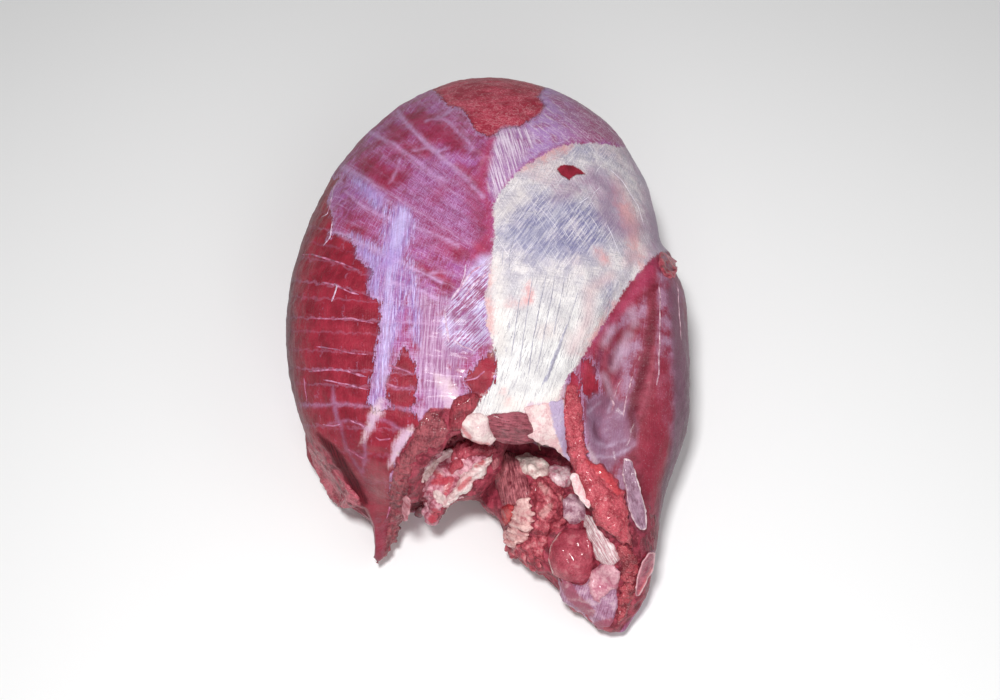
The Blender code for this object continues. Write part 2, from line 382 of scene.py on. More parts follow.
# Soft patches of another colour over the meat. Each later one lies over those before it.
washes = {
    "seam": {"ink": (172, 58, 92), "soft": 5, "cover": 0.75,
        "strokes": [[(491, 138, 3), (485, 160, 5), (480, 183, 5), (488, 207, 3), (490, 232, 3),
            (482, 249, 7), (474, 256, 4)]]},
    # painted shade: the left edge darkened towards the outline, where the light falls off
    "leftEdgeShade": {"ink": (64, 10, 34), "soft": 11, "cover": 0.85,
        "strokes": [[(372, 118, 2), (345, 148, 4), (322, 180, 5), (303, 222, 6), (290, 270, 6),
            (286, 320, 6), (288, 370, 6), (294, 410, 6), (300, 440, 5)]]},
    "upperRed": {"ink": (160, 48, 82), "soft": 9, "cover": 0.45,
        "strokes": [[(378, 170, 8), (396, 178, 8)], [(410, 130, 6), (430, 124, 10), (452, 140, 8)],
            [(385, 140, 4), (400, 150, 5)], [(436, 200, 5), (440, 190, 6)],
            [(470, 200, 6), (478, 225, 6)], [(440, 240, 8), (462, 256, 6)]]},
    "bands": {"ink": (206, 168, 214), "soft": 2.2, "cover": 0.7,
        "strokes": [[(398, 112, 1.7), (406, 123, 1.7), (428, 146, 1.7), (450, 166, 1.7),
            (469, 183, 1.7), (483, 197, 1.7)],
            [(366, 130, 1.4), (372, 134, 1.4), (393, 144, 1.4), (411, 157, 1.4), (424, 168, 1.4),
            (437, 177, 1.4), (447, 182, 1.4)],
            [(437, 116, 1.0), (450, 123, 1.0), (460, 133, 1.0), (469, 142, 1.0), (472, 150, 1.0)],
            [(413, 151, 0.9), (428, 149, 0.9), (437, 152, 0.9), (446, 150, 0.9)],
            [(452, 110, 0.9), (440, 118, 0.9), (426, 122, 0.9)],
            [(343, 168, 1.3), (359, 175, 1.3), (372, 183, 1.3), (382, 198, 1.3), (393, 205, 1.3)],
            [(346, 192, 1.1), (359, 203, 1.1), (376, 214, 1.1), (398, 222, 1.1), (419, 229, 1.1),
            (441, 237, 1.1), (458, 246, 1.1)],
            [(335, 233, 1.1), (350, 240, 1.1), (367, 248, 1.1), (385, 257, 1.1), (406, 266, 1.1),
            (424, 274, 1.1), (441, 283, 1.1)], [(400, 160, 0.6), (397, 172, 0.6), (390, 184, 0.6)],
            [(420, 276, 0.6), (440, 272, 0.6), (456, 276, 0.6)],
            [(390, 282, 0.7), (408, 286, 0.7), (424, 292, 0.7), (438, 300, 0.7)]]},
    "lowBands": {"ink": (178, 124, 164), "soft": 2.2, "cover": 0.65,
        "strokes": [[(300, 406, 1.2), (325, 405, 1.6), (345, 404, 1.4), (369, 406, 1.0)],
            [(333, 388, 1.0), (335, 410, 2.2), (341, 428, 1.2), (345, 442, 0.8), (350, 455, 0.8),
            (359, 468, 0.8), (364, 478, 0.4)], [(379, 394, 1.0), (393, 406, 1.2), (411, 411, 1.6)],
            [(371, 418, 1.4), (385, 420, 1.0), (397, 428, 1.4), (407, 431, 1.6)],
            [(365, 440, 1.2), (365, 458, 1.4), (363, 472, 0.6)],
            [(345, 448, 0.5), (361, 457, 0.8), (369, 460, 0.5)],
            [(330, 424, 0.5), (349, 420, 0.5), (361, 424, 0.8), (367, 430, 0.8)],
            [(387, 366, 0.5), (397, 368, 0.8), (413, 374, 0.5)],
            [(384, 383, 0.5), (397, 388, 0.8), (415, 388, 0.5)]]},
    "web": {"ink": (204, 140, 168), "soft": 2, "cover": 0.6,
        "strokes": [[(474, 149, 0.5), (484, 157, 0.8), (492, 158, 0.5)],
            [(484, 157, 0.5), (478, 172, 0.6)]]},
    "violet": {"ink": (176, 150, 216), "soft": 8, "cover": 0.6,
        "strokes": [[(360, 186, 4), (378, 200, 6)], [(403, 214, 4), (398, 236, 8), (390, 262, 8)],
            [(362, 252, 4), (376, 262, 5), (374, 292, 3)]]},
    # painted highlight: blue-white glints on the wet membrane of the left muscle
    "paintedHighlight": {"ink": (214, 202, 246), "soft": 5, "cover": 0.55,
        "strokes": [[(404, 214, 4), (400, 228, 5), (396, 246, 4)], [(484, 260, 5), (470, 276, 4)],
            [(446, 322, 3), (450, 332, 3)], [(390, 270, 2), (387, 330, 3), (384, 380, 3)]]},
    "mesh": {"ink": (124, 60, 112), "soft": 8, "cover": 0.55,
        "strokes": [[(456, 318, 6), (472, 322, 8), (480, 338, 6)], [(452, 352, 6), (470, 350, 5)],
            [(452, 296, 3), (470, 292, 3)]]},
    "greyMauve": {"ink": (152, 124, 152), "soft": 10, "cover": 0.75,
        "strokes": [[(592, 176, 6), (612, 190, 8), (606, 214, 9), (624, 232, 9), (642, 226, 6)],
            [(572, 192, 4), (556, 200, 4)], [(652, 214, 5), (660, 240, 6)]]},
    "greyBlue": {"ink": (176, 174, 196), "soft": 11, "cover": 0.5,
        "strokes": [[(508, 236, 6), (524, 240, 9), (544, 230, 9), (558, 210, 7)],
            [(540, 254, 8), (560, 250, 6)]]},
    "rightGrey": {"ink": (182, 170, 190), "soft": 8, "cover": 0.6,
        "strokes": [[(634, 152, 5), (652, 186, 6), (664, 222, 6), (662, 246, 4)]]},
    "warm": {"ink": (214, 168, 174), "soft": 8, "cover": 0.5,
        "strokes": [[(616, 178, 3), (630, 206, 5), (636, 236, 5)], [(640, 252, 6), (628, 262, 4)],
            [(598, 252, 3), (606, 262, 3)],
            [(610, 276, 4), (590, 290, 5), (588, 320, 5), (572, 350, 5)]]},
    "cream": {"ink": (238, 228, 222), "soft": 10, "cover": 0.6,
        "strokes": [[(522, 196, 5), (506, 212, 5)], [(494, 262, 4), (500, 300, 5), (500, 350, 5)],
            [(560, 392, 6), (540, 410, 8), (505, 404, 8)]]},
    "crimsonEdge": {"ink": (168, 58, 92), "soft": 6, "cover": 0.7,
        "strokes": [[(653, 264, 5), (646, 278, 6), (630, 298, 4), (612, 320, 3), (597, 340, 3),
            (588, 354, 3)], [(582, 366, 3), (579, 380, 3)]]},
    "paleBlotch": {"ink": (194, 164, 186), "soft": 6, "cover": 0.7,
        "strokes": [[(628, 336, 4), (620, 352, 5), (614, 368, 4)], [(604, 376, 3), (612, 396, 3)],
            [(612, 330, 3), (604, 344, 3)], [(632, 312, 3), (634, 324, 3)]]},
    "spots": {"ink": (112, 50, 76), "soft": 3, "cover": 0.7,
        "strokes": [[(610, 356, 2), (610, 364, 2)], [(620, 372, 2), (616, 384, 1)],
            [(600, 352, 3), (596, 372, 3)]]},
    "lowRed": {"ink": (138, 36, 56), "soft": 5, "cover": 0.85,
        "patches": [[(662, 352), (671, 360), (673, 400), (671, 440), (664, 470), (655, 500), (644, 490),
            (640, 460), (636, 430), (650, 405)]]},
    # grey membrane along the right edge, darkened with painted shade where the side turns away from the
    # light
    "rightEdgeShade": {"ink": (104, 70, 90), "soft": 4, "cover": 0.85,
        "strokes": [[(672, 292, 5), (680, 330, 8), (683, 380, 8), (683, 420, 8), (677, 460, 7),
            (668, 490, 7), (662, 520, 4)]]},
    "veil": {"ink": (136, 100, 126), "soft": 4, "cover": 0.75,
        "patches": [[(586, 400), (600, 392), (616, 400), (632, 404), (638, 430), (636, 446), (622, 456),
            (607, 474), (596, 464), (588, 446)]]},
    "fringe": {"ink": (214, 194, 206), "soft": 3, "cover": 0.7,
        "strokes": [[(587, 446, 1), (595, 462, 2), (606, 473, 1)]]},
    "veilStreaks": {"ink": (204, 184, 210), "soft": 2.4, "cover": 0.55,
        "strokes": [[(592, 440, 0.5), (606, 447, 1.0), (626, 440, 0.5)],
            [(598, 456, 0.5), (612, 457, 1.0), (628, 449, 1.0), (636, 444, 0.5)],
            [(589, 412, 1), (600, 402, 0.5)], [(614, 396, 0.5), (608, 412, 1.0)]]},
    "tipShade": {"ink": (116, 26, 46), "soft": 9, "cover": 0.45,
        "strokes": [[(346, 436, 8), (366, 480, 11), (376, 530, 8), (376, 556, 5)]]},
    "slit": {"ink": (98, 24, 40), "soft": 3, "cover": 0.85,
        "strokes": [[(654, 296, 1), (652, 330, 3), (647, 360, 3), (638, 386, 4), (631, 412, 4),
            (634, 436, 3)]]},
    "slitRidge": {"ink": (176, 84, 102), "soft": 3, "cover": 0.5,
        "strokes": [[(655, 346, 0.5), (652, 372, 1.0), (646, 396, 1.5), (640, 416, 0.5)]]},
}

# Thin pale lines of sinew that lie on the meat: half width in pixels, then spots in the picture
sinews = {
    "thinSinews": {"dark": (160, 70, 98), "light": (196, 132, 166),
        "lines": [(0.8, [(298, 255), (313, 254), (328, 259), (348, 266), (365, 272)]),
            (0.9, [(318, 281), (328, 284), (337, 286), (350, 292), (363, 296)]),
            (0.7, [(307, 318), (328, 319), (350, 318), (367, 322), (380, 324)]),
            (0.6, [(311, 346), (335, 349), (345, 352), (373, 356)]),
            (1.0, [(304, 372), (325, 370), (345, 370), (361, 375), (371, 378)]),
            (0.7, [(319, 379), (345, 384), (365, 389), (372, 392)]),
            (0.9, [(303, 376), (305, 390), (307, 404)]), (0.7, [(321, 424), (333, 426), (341, 424)]),
            (0.8, [(349, 420), (361, 424), (367, 430)]), (0.8, [(345, 448), (361, 457), (369, 460)]),
            (0.8, [(387, 364), (397, 368), (413, 374)]), (0.9, [(384, 383), (397, 388), (415, 388)]),
            (0.8, [(392, 438), (380, 440), (374, 436)]), (0.8, [(390, 502), (389, 512), (386, 520)]),
            (0.7, [(463, 381), (477, 378), (486, 370)]), (0.6, [(472, 392), (466, 384), (462, 380)])]},
    "whiteSinews": {"dark": (184, 124, 158), "light": (226, 208, 228),
        "lines": [(0.8, [(333, 283), (337, 286), (334, 296), (331, 304)]),
            (0.8, [(337, 180), (331, 200), (327, 214), (319, 219)]),
            (0.8, [(333, 218), (330, 236), (322, 248)]), (0.5, [(466, 262), (464, 276), (459, 290)]),
            (1.0, [(486, 262), (472, 272), (458, 290), (448, 304)]),
            (0.8, [(488, 272), (476, 282), (462, 300)]), (0.9, [(444, 306), (446, 326), (450, 346)]),
            (0.8, [(452, 338), (462, 346), (476, 352)])]},
    "silverGrooves": {"dark": (150, 146, 162), "light": (182, 178, 190), "wander": 0.4,
        "lines": [(0.45, [(549, 262), (541, 300), (533, 340), (527, 386)]),
            (0.40, [(557, 262), (551, 300), (543, 340), (535, 382)]),
            (0.60, [(568, 322), (560, 346), (550, 372), (545, 388)]),
            (0.55, [(562, 338), (553, 362), (546, 382)]),
            (0.40, [(535, 262), (529, 300), (523, 340), (517, 382)]),
            (0.40, [(521, 290), (515, 330), (511, 362)]), (0.45, [(612, 276), (611, 300), (606, 324)]),
            (0.35, [(566, 270), (560, 304), (552, 340)]), (0.35, [(580, 286), (570, 318), (558, 352)]),
            (0.35, [(508, 232), (503, 250), (502, 268)]),
            (0.35, [(516, 230), (510, 252), (509, 276)])]},
    "silverHairs": {"dark": (200, 193, 206), "light": (230, 225, 232), "wander": 0.5,
        "lines": [(0.30, [(606, 222), (614, 240), (621, 256)]),
            (0.30, [(575, 206), (589, 197), (604, 184)]),
            (0.25, [(604, 164), (622, 180), (638, 206), (646, 232)]),
            (0.25, [(530, 200), (546, 214), (560, 232)])]},
    "rightSinews": {"dark": (146, 92, 112), "light": (216, 180, 192),
        "lines": [(0.7, [(659, 270), (660, 295), (660, 328), (659, 370), (656, 396)]),
            (1.0, [(675, 276), (678, 292), (680, 315), (682, 346)]),
            (0.5, [(614, 398), (618, 386), (622, 378)]), (0.7, [(634, 372), (627, 396), (623, 420)]),
            (0.9, [(610, 396), (614, 404), (612, 412)])]},
}

# Pale lines cross the left muscle's fibres. Each has the height where it meets the column,
# and its strength.
crossLines = {
    "column": 340,
    "heights": [30, 67, 90, 108, 126, 145, 162, 180, 198, 216, 233, 248, 264, 287, 299, 319, 332, 351,
                370, 385, 405, 427, 452, 480, 520],
    "strengths": [0.5, 1.0, 0.3, 0.9, 0.4, 0.3, 0.9, 0.3, 0.4, 0.3, 1.0, 0.4, 0.6, 0.9, 0.5, 0.9, 0.4, 0.5,
                  1.0, 0.7, 1.0, 0.6, 0.4, 0.3, 0.3],
    "slopeHeights": [60, 110, 230, 262, 290, 300],
    "slopes": [0.92, 0.76, 0.50, 0.40, 0.30, 0.06],  # how steeply the lines fall at those heights
    "leftShare": 0.45,  # of that slope, left of the column
    "rounds": 8,
}

skin = {
    "voxel": 0.00165,
    "weld": 0.00001,
    "domeCentre": (-0.0053, 0.0242, 0.0644),
    "domeHalves": (0.105, 0.142, 0.079),
    "domeLean": -12,
    "unfold": 150,  # pixels by which the far side is laid out beyond the outline
    "unroll": 190,  # the dome's radius in pixels, by which its grain is laid out flat
    "washTorn": (1.5, 0.004),  # how far a soft patch's edge wanders, in pixels, and the size of its curves
    "membrane": 0.00045,
    "bulge": 0.0008,  # of the left muscle, between its pale lines
    "bulgeEnd": (500, 30),  # the column where it ends, and the pixels it fades over
    "ripples": [(0.00035, 0.006), (0.00021, 0.003)],  # height and size, here and in the next
    "lumps": [(0.0016, 0.009), (0.0010, 0.0045)],
    "hollowFront": -0.05,
    "hollowSide": 0.07,
    "hollowFacing": 0.05,
    "clearance": 0.002,
}


# The torn end's outline in the picture. Elsewhere the line keeps well outside the meat.
trim = {
    "outline": [(200, 0), (800, 0), (800, 660), (630, 640), (612, 633), (595, 629), (584, 622),
        (573, 615), (566, 605), (561, 597), (561, 588), (557, 578), (549, 574), (538, 573), (530, 567),
        (520, 561), (512, 556), (506, 548), (503, 540), (503, 525), (497, 517), (487, 509), (471, 498),
        (462, 496), (452, 503), (443, 513), (435, 528), (426, 522), (422, 506), (414, 500), (408, 505),
        (405, 521), (400, 536), (392, 552), (384, 563), (377, 565), (373, 558), (374, 545), (373, 530),
        (368, 514), (360, 508), (344, 509), (332, 502), (322, 490), (312, 472), (290, 450), (200, 420)],
    "margin": 10,
    "most": 24,
}


def trimmed(points):  # the points, drawn in to that outline
    spots = inPicture(points)
    out = -patch(spots, trim["outline"])
    uphill = np.column_stack([-patch(spots + step, trim["outline"]) - out for step in np.eye(2)])
    eased = trim["margin"] * (np.tanh(1 + out / trim["margin"]) - 1)
    shift = np.maximum(np.where(out > -trim["margin"], eased - out, 0), -trim["most"])
    shift *= -((points - np.array(cameraPlace)) @ np.array(towardsCamera)) / focalPixels
    right, down = (uphill * shift[:, None]).T
    return points + right[:, None] * np.array(cameraRight) - down[:, None] * np.array(cameraUp)


def fibreSpots(spots):  # across the left muscle's fibres, and along them
    height = spots[:, 1].copy()
    across = spots[:, 0] - crossLines["column"]
    across = np.where(across < 0, across * crossLines["leftShare"], across)
    for _ in range(crossLines["rounds"]):
        slope = np.interp(height, crossLines["slopeHeights"], crossLines["slopes"])
        height = 0.5 * height + 0.5 * (spots[:, 1] - slope * across)
    rows = np.arange(0.0, view["pictureHeight"])
    drift = np.cumsum(np.interp(rows, crossLines["slopeHeights"], crossLines["slopes"]))
    return spots[:, 0] + np.interp(spots[:, 1], rows, drift), height


def domeTurn(points):  # for each point, the way out from the dome's middle
    lean = Matrix.Rotation(math.radians(skin["domeLean"]), 3, "Z")
    local = (points - np.array(skin["domeCentre"])) @ np.array(lean)
    out = (local / np.array(skin["domeHalves"]) ** 2) @ np.array(lean).T
    return out / np.linalg.norm(out, axis=1)[:, None]


def laidOut(points):  # picture spots, with the unseen side folded out beyond the outline
    spots = inPicture(points)
    out = domeTurn(points)
    facing = out @ np.array(towardsCamera)
    sideways = np.column_stack((out @ np.array(cameraRight), -(out @ np.array(cameraUp))))
    sideways /= np.maximum(np.linalg.norm(sideways, axis=1), 1e-6)[:, None]
    zoneSpots = spots + sideways * (skin["unfold"] * np.maximum(0, -facing))[:, None]
    angle = np.arccos(np.clip(facing, -1, 1))
    grain = spots + sideways * (skin["unroll"] * (angle - np.sin(angle)))[:, None]
    return zoneSpots, grain * pixelSize


def makeSkin():
    builder = bmesh.new()
    builder.from_mesh(flank.data)
    bmesh.ops.remove_doubles(builder, verts=builder.verts, dist=skin["weld"])
    piece = remeshed(newPiece("flankBody", builder), skin["voxel"])
    mesh = piece.data
    points = trimmed(easedPoints(mesh))
    setPoints(mesh, points)
    normals = pointsOf(mesh, normals=True)
    spots, grain = laidOut(points)

    fields = {name: marked(spots, **marks) for name, marks in zones.items()}
    wash = np.zeros((len(points), 3))
    washCover = np.zeros(len(points))
    wander, wanderSize = skin["washTorn"]
    for layer in washes.values():
        share = marked(spots, layer.get("patches", []), layer.get("strokes", []))
        share = share + wander * noiseOver(points, wanderSize)
        share = np.clip(share / layer["soft"] / 2 + 0.5, 0, 1)
        share = layer["cover"] * share * share * (3 - 2 * share)
        total = share + washCover * (1 - share)
        mix = (share / np.maximum(total, 1e-6))[:, None]
        wash = wash * (1 - mix) + np.array(ink(*layer["ink"])[:3]) * mix
        washCover = total
    fields["washCover"] = washCover
    fields["wash"] = wash
    sideways, height = fibreSpots(spots)
    order = range(len(crossLines["heights"]))
    fields["cross"] = np.interp(height, crossLines["heights"], order)
    fields["crossStrength"] = np.interp(height, crossLines["heights"], crossLines["strengths"])
    fields["fibre"] = np.column_stack((sideways, height, np.zeros(len(height)))) * pixelSize

    # What the lip hides, or lies in the hollow, is inside meat
    tree = BVHTree.FromObject(piece, bpy.context.evaluated_depsgraph_get())
    hidden = np.zeros(len(points))
    facing = normals @ np.array(towardsCamera)
    hollow = (points[:, 1] < skin["hollowFront"]) & (abs(points[:, 0]) < skin["hollowSide"])
    hollow &= facing > skin["hollowFacing"]
    for place in np.flatnonzero(hollow):
        start = Vector(points[place] + normals[place] * skin["clearance"])
        if tree.ray_cast(start, towardsCamera)[0]:
            hidden[place] = 1
    hidden = averaged(mesh, hidden, rounds=3)
    fields["mouth"] = np.maximum(fields["mouth"], (hidden - 0.4) * 20)

    membrane = 1 / (1 + np.exp(fields["bare"] * 0.9))
    inside = 1 / (1 + np.exp(-fields["mouth"] * 0.6))
    swell = np.abs(np.sin(math.pi * fields["cross"])) ** 0.6
    bulgeEnd, bulgeFade = skin["bulgeEnd"]
    left = np.clip((bulgeEnd - spots[:, 0]) / bulgeFade, 0, 1)
    shown = np.clip(1.6 * facing, 0, 1)  # none at the outline, so that it stays smooth
    relief = skin["membrane"] * membrane + skin["bulge"] * swell * left * shown * (1 - inside)
    relief += sum(high * noiseOver(points, size) for high, size in skin["ripples"])
    relief += inside * sum(high * noiseOver(points, size) for high, size in skin["lumps"])
    relief -= skin["membrane"]
    points += normals * relief[:, None]
    points[:, 2] = np.maximum(points[:, 2], 0)
    setPoints(mesh, points)

    for name, values in fields.items():
        setField(mesh, name, values)
    setField(mesh, "grain", np.column_stack((grain, np.zeros(len(grain)))))
    mesh.shade_smooth()
    mesh.materials.clear()
    mesh.materials.append(skinFinish())
    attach(piece, "root")
    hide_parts("thick_flank")
    print("skin", len(mesh.vertices), "vertices")
    return piece


def skinFinish():
    f = Finish("thick flank skin")
    place = f.node("TexCoord", {}, output="Object")
    grain = f.node("Attribute", {}, output="Vector", attribute_name="grain")
    fibre = f.node("Attribute", {}, output="Vector", attribute_name="fibre")
    torn = f.clouds(grain, 0.005, 4, 0.6, "2D") - 0.5
    ragged = f.clouds(grain, 0.0012, 3, 0.6, "2D") - 0.5
    frayed = f.threads(fibre, 0.0012, 0.009, 0, 3, 0.7) - 0.5
    broad = f.clouds(place, 0.035, 3)
    middle = f.clouds(place, 0.010, 4, 0.6)
    fine = f.clouds(place, 0.0020, 3, 0.65)
    dots = f.clouds(place, 0.0009, 2, 0.6)
    down = f.threads(fibre, 0.0016, 0.030, 0, 4, 0.7)  # along the left muscle's fibres
    downFine = f.threads(fibre, 0.00055, 0.010, 0, 3, 0.65)
    over = f.threads(fibre, 0.016, 0.0008, 0, 3, 0.65)  # across them
    upright = f.threads(grain, 0.0011, 0.026, 4, 4, 0.7)  # shiny strands of the left muscle
    uprightFine = f.threads(grain, 0.0005, 0.010, 3, 3, 0.7)
    slant = f.threads(grain, 0.0012, 0.022, 18, 4, 0.7)  # silverskin striations
    slantFine = f.threads(grain, 0.0005, 0.012, 20, 3, 0.7)
    counter = f.threads(grain, 0.0007, 0.014, -27, 3, 0.7)
    arcs = f.threads(grain, 0.014, 0.0008, 8, 3, 0.7)
    slash = f.threads(grain, 0.0014, 0.012, 38, 4, 0.7)
    sockets = {"Vector": grain, "Rotation": (0, 0, math.radians(18))}
    slantPlace = f.node("Mapping", sockets, vector_type="TEXTURE")
    sockets = {"Vector": place, "Scale": 170, "Detail": 3, "Roughness": 0.6}
    tangle = f.node("TexNoise", sockets, noise_dimensions="3D") - 0.5
    tangle = f.node("Math", {0: tangle}, operation="ABSOLUTE")
    tangle = 1 - tangle.between(0.004, 0.022)  # thin curling lines

    def zone(name, soft=1.0, tornBy=8, raggedBy=5, frayedBy=0):
        return (f.field(name) + torn * tornBy + ragged * raggedBy + frayed * frayedBy).between(-soft, soft)

    bareEdge = f.field("bare") + torn * 8 + ragged * 5 + frayed * 12
    bare = bareEdge.between(-0.8, 0.8)
    rim = bareEdge.between(-4.5, -0.5) * (1 - bare)
    silver = zone("silver", 1.4, 8, 5)
    bright = zone("bright", 5, 6, 4, 16)
    fat = zone("fat", 4.0, 5, 5, 8)
    pink = zone("pink", 5, 14, 8)
    blue = zone("blue", 14, 26, 8)
    mauve = zone("mauve", 10, 18, 6)
    thin = zone("thin", 6, 12, 4)
    fan = zone("fan", 7, 12, 5)
    grey = zone("grey", 0.7, 1.5, 1.5)
    slitShade = zone("slitShade", 2.5, 3, 2)
    crimson = zone("crimson", 3.5, 6, 3)
    lilac = zone("lilac", 3, 6, 4)
    hole = zone("hole", 0.8, 2.5, 2.5)
    topBare = zone("topBare", 1.0, 8, 5)
    tan = zone("tan", 6, 16, 6, 20)
    net = zone("net", 8, 16, 8)
    sideMembraneAndShade = zone("sideMembraneAndShade", 5, 6, 3)
    upper = zone("upper", 3.5, 8, 5)
    striated = zone("striated", 5, 6, 4)
    mouth = zone("mouth", 1.2, 4, 3)

    # Bare meat
    red = f.blend(middle.between(0.3, 0.7), ink(126, 24, 42), ink(160, 42, 62))
    red = f.shade(red, 0.80 + 0.4 * down)
    red = f.shade(red, 0.88 + 0.24 * fine)

    # Thin membrane over it, in fine strands both ways
    haze = f.blend(broad.between(0.35, 0.65), ink(158, 64, 112), ink(158, 86, 150))
    haze = f.blend(downFine.between(0.48, 0.66) * 0.6, haze, ink(198, 150, 202))
    haze = f.blend(over.between(0.52, 0.68) * 0.6, haze, ink(200, 152, 202))
    haze = f.blend(dots.between(0.55, 0.75) * 0.35, haze, ink(222, 194, 228))
    cover = 0.30 + 0.70 * (middle + frayed * 0.35 + ragged * 0.2).between(0.34, 0.60)
    lilacTone = f.blend(middle.between(0.40, 0.62), ink(130, 64, 92), ink(158, 112, 138))
    lilacTone = f.blend(upright.between(0.50, 0.66) * 0.4, lilacTone, ink(184, 148, 172))
    lilacTone = f.blend(dots.between(0.54, 0.72) * 0.25, lilacTone, ink(216, 190, 206))
    haze = f.blend(lilac, haze, lilacTone)
    haze = f.blend(cover * (1 - thin * 0.75), red, haze)

    # Pale lines across the left muscle, and fainter ones along it
    def nearLine(phase):  # distance from the nearest whole number
        wrapped = f.node("Math", {0: phase, 1: 0.5, 2: -0.5}, operation="WRAP")
        return f.node("Math", {0: wrapped}, operation="ABSOLUTE")

    across = f.node("SeparateXYZ", {"Vector": fibre}, output="X")
    onLeft = 1 - f.node("SeparateXYZ", {"Vector": grain}, output="X").between(0.262, 0.272)
    breaks = f.threads(fibre, 0.006, 0.003, 0, 3, 0.7)
    crossing = nearLine(f.field("cross") + torn * 0.5 + ragged * 0.14)
    halo = (1 - crossing.between(0.02, 0.34)) * (1 - bare) * 0.5
    lines = (1 - crossing.between(0.02, 0.12)).larger(halo)
    lines = lines * f.field("crossStrength") * breaks.between(0.28, 0.52)
    strands = 1 - nearLine(across * 95 + torn * 1.1).between(0.01, 0.07)
    strands = strands * f.threads(fibre, 0.003, 0.010, 0, 3, 0.7).between(0.52, 0.66)
    lines = lines.larger(strands * 0.8) * onLeft

    paleStrand = f.blend(upright.between(0.40, 0.60), ink(150, 98, 140), ink(202, 170, 202))
    haze = f.blend(tan * 0.8, haze, paleStrand)
    hatch = f.threads(fibre, 0.0005, 0.006, 0, 3, 0.7).between(0.50, 0.62)
    hatch = hatch.larger(f.threads(fibre, 0.008, 0.0005, 0, 3, 0.7).between(0.50, 0.62))
    netted = f.blend(hatch, ink(146, 62, 110), ink(190, 144, 196))
    haze = f.blend(net * 0.7, haze, netted)
    streaky = f.blend(uprightFine.between(0.40, 0.62), ink(132, 92, 160), ink(212, 196, 242))
    streaky = f.blend(middle.between(0.5, 0.7) * 0.4, streaky, ink(150, 76, 128))
    haze = f.blend(bright * (0.35 + 0.65 * upright.between(0.36, 0.60)), haze, streaky)
    fanLines = f.threads(grain, 0.0008, 0.012, 44, 4, 0.7)
    fanned = f.blend(fanLines.between(0.34, 0.62), ink(138, 104, 162), ink(222, 214, 242))
    haze = f.blend(fan * (0.15 + 0.85 * (fanLines + middle - 0.5).between(0.40, 0.58)), haze, fanned)
    haze = f.blend(rim * 0.5, haze, ink(204, 168, 210))
    coloured = f.blend(bare, haze, red)
    coloured = f.blend(lines * (0.45 - 0.2 * bare), coloured, ink(206, 164, 204))
    lightRed = f.blend(dots.between(0.4, 0.7), ink(176, 56, 76), ink(222, 120, 138))
    lightRed = f.blend(middle.between(0.35, 0.65), ink(158, 42, 62), lightRed)
    lightRed = f.blend(tangle * 0.5, lightRed, ink(226, 160, 168))
    coloured = f.blend(topBare * 0.85, coloured, lightRed)
    darkRed = f.blend(middle.between(0.35, 0.65), ink(104, 26, 42), ink(142, 44, 62))
    coloured = f.blend(crimson * 0.9, coloured, f.shade(darkRed, 0.85 + 0.3 * upright))

    # Purple and pink cover over the upper right
    towardsRight = f.node("SeparateXYZ", {"Vector": grain}, output="X").between(0.310, 0.345)
    veil = f.blend(towardsRight, ink(176, 134, 190), ink(160, 88, 126))
    veil = f.blend(middle.between(0.48, 0.66) * 0.7, veil, ink(152, 66, 104))
    veil = f.blend(dots.between(0.5, 0.72) * 0.5, veil, ink(212, 186, 216))
    sweeps = f.threads(grain, 0.0011, 0.018, -52, 3, 0.7)
    veil = f.blend(sweeps.between(0.54, 0.68) * 0.7, veil, ink(218, 196, 214))
    veil = f.blend(tangle * 0.5, veil, ink(222, 200, 220))
    coloured = f.blend(upper, coloured, veil)
    ribs = f.threads(grain, 0.0009, 0.020, -16, 3, 0.65)
    ribbed = f.blend(ribs.between(0.40, 0.62), ink(158, 104, 152), ink(226, 206, 226))
    coloured = f.blend(striated * (0.55 + 0.45 * ribs.between(0.4, 0.55)), coloured, ribbed)

    # Silverskin, greyer towards the hip, whiter and closer grained towards the lip
    lowDown = f.node("SeparateXYZ", {"Vector": grain}, output="Y").between(0.138, 0.190)
    paler = (middle + 0.25 * slant).between(0.50, 0.72)
    upperWhite = f.blend(paler, ink(194, 186, 199), ink(232, 223, 224))
    upperWhite = f.blend(broad.between(0.5, 0.65) * 0.5, upperWhite, ink(222, 194, 200))
    lowerWhite = f.blend(middle.between(0.36, 0.64), ink(218, 214, 214), ink(240, 237, 235))
    lowerWhite = f.blend(broad.between(0.48, 0.66) * 0.5, lowerWhite, ink(234, 212, 208))
    white = f.blend(lowDown, upperWhite, lowerWhite)
    white = f.blend(slant.between(0.50, 0.66) * 0.3, white, ink(174, 168, 180))
    grooves = nearLine(f.node("SeparateXYZ", {"Vector": slantPlace}, output="X") * 520 + torn * 1.3)
    grooves = 1 - grooves.between(0.03, 0.16)
    grooves = grooves * f.threads(grain, 0.004, 0.012, 18, 3, 0.7).between(0.46, 0.60)
    white = f.blend(grooves * (0.30 + 0.40 * lowDown), white, ink(128, 122, 138))
    white = f.blend(grey * 0.75, white, ink(146, 142, 172))
    white = f.blend(slantFine.between(0.53, 0.68) * 0.5, white, ink(158, 152, 164))
    white = f.blend(dots.between(0.56, 0.72) * 0.45, white, ink(252, 251, 251))
    bluish = f.blend(slash.between(0.36, 0.60), ink(198, 192, 212), ink(130, 126, 164))
    bluish = f.blend(middle.between(0.52, 0.68) * 0.5, bluish, ink(206, 194, 210))
    white = f.blend(blue * (0.35 + 0.65 * slash.between(0.34, 0.52)), white, bluish)
    greyed = f.blend(counter.between(0.40, 0.62), ink(162, 116, 148), ink(198, 174, 196))
    white = f.blend(mauve * (0.35 + 0.5 * middle.between(0.36, 0.56)), white, greyed)
    white = f.blend(arcs.between(0.54, 0.66) * (1 - lowDown) * 0.5, white, ink(150, 146, 164))
    scratches = f.threads(grain, 0.0005, 0.020, -33, 2, 0.6).between(0.64, 0.70)
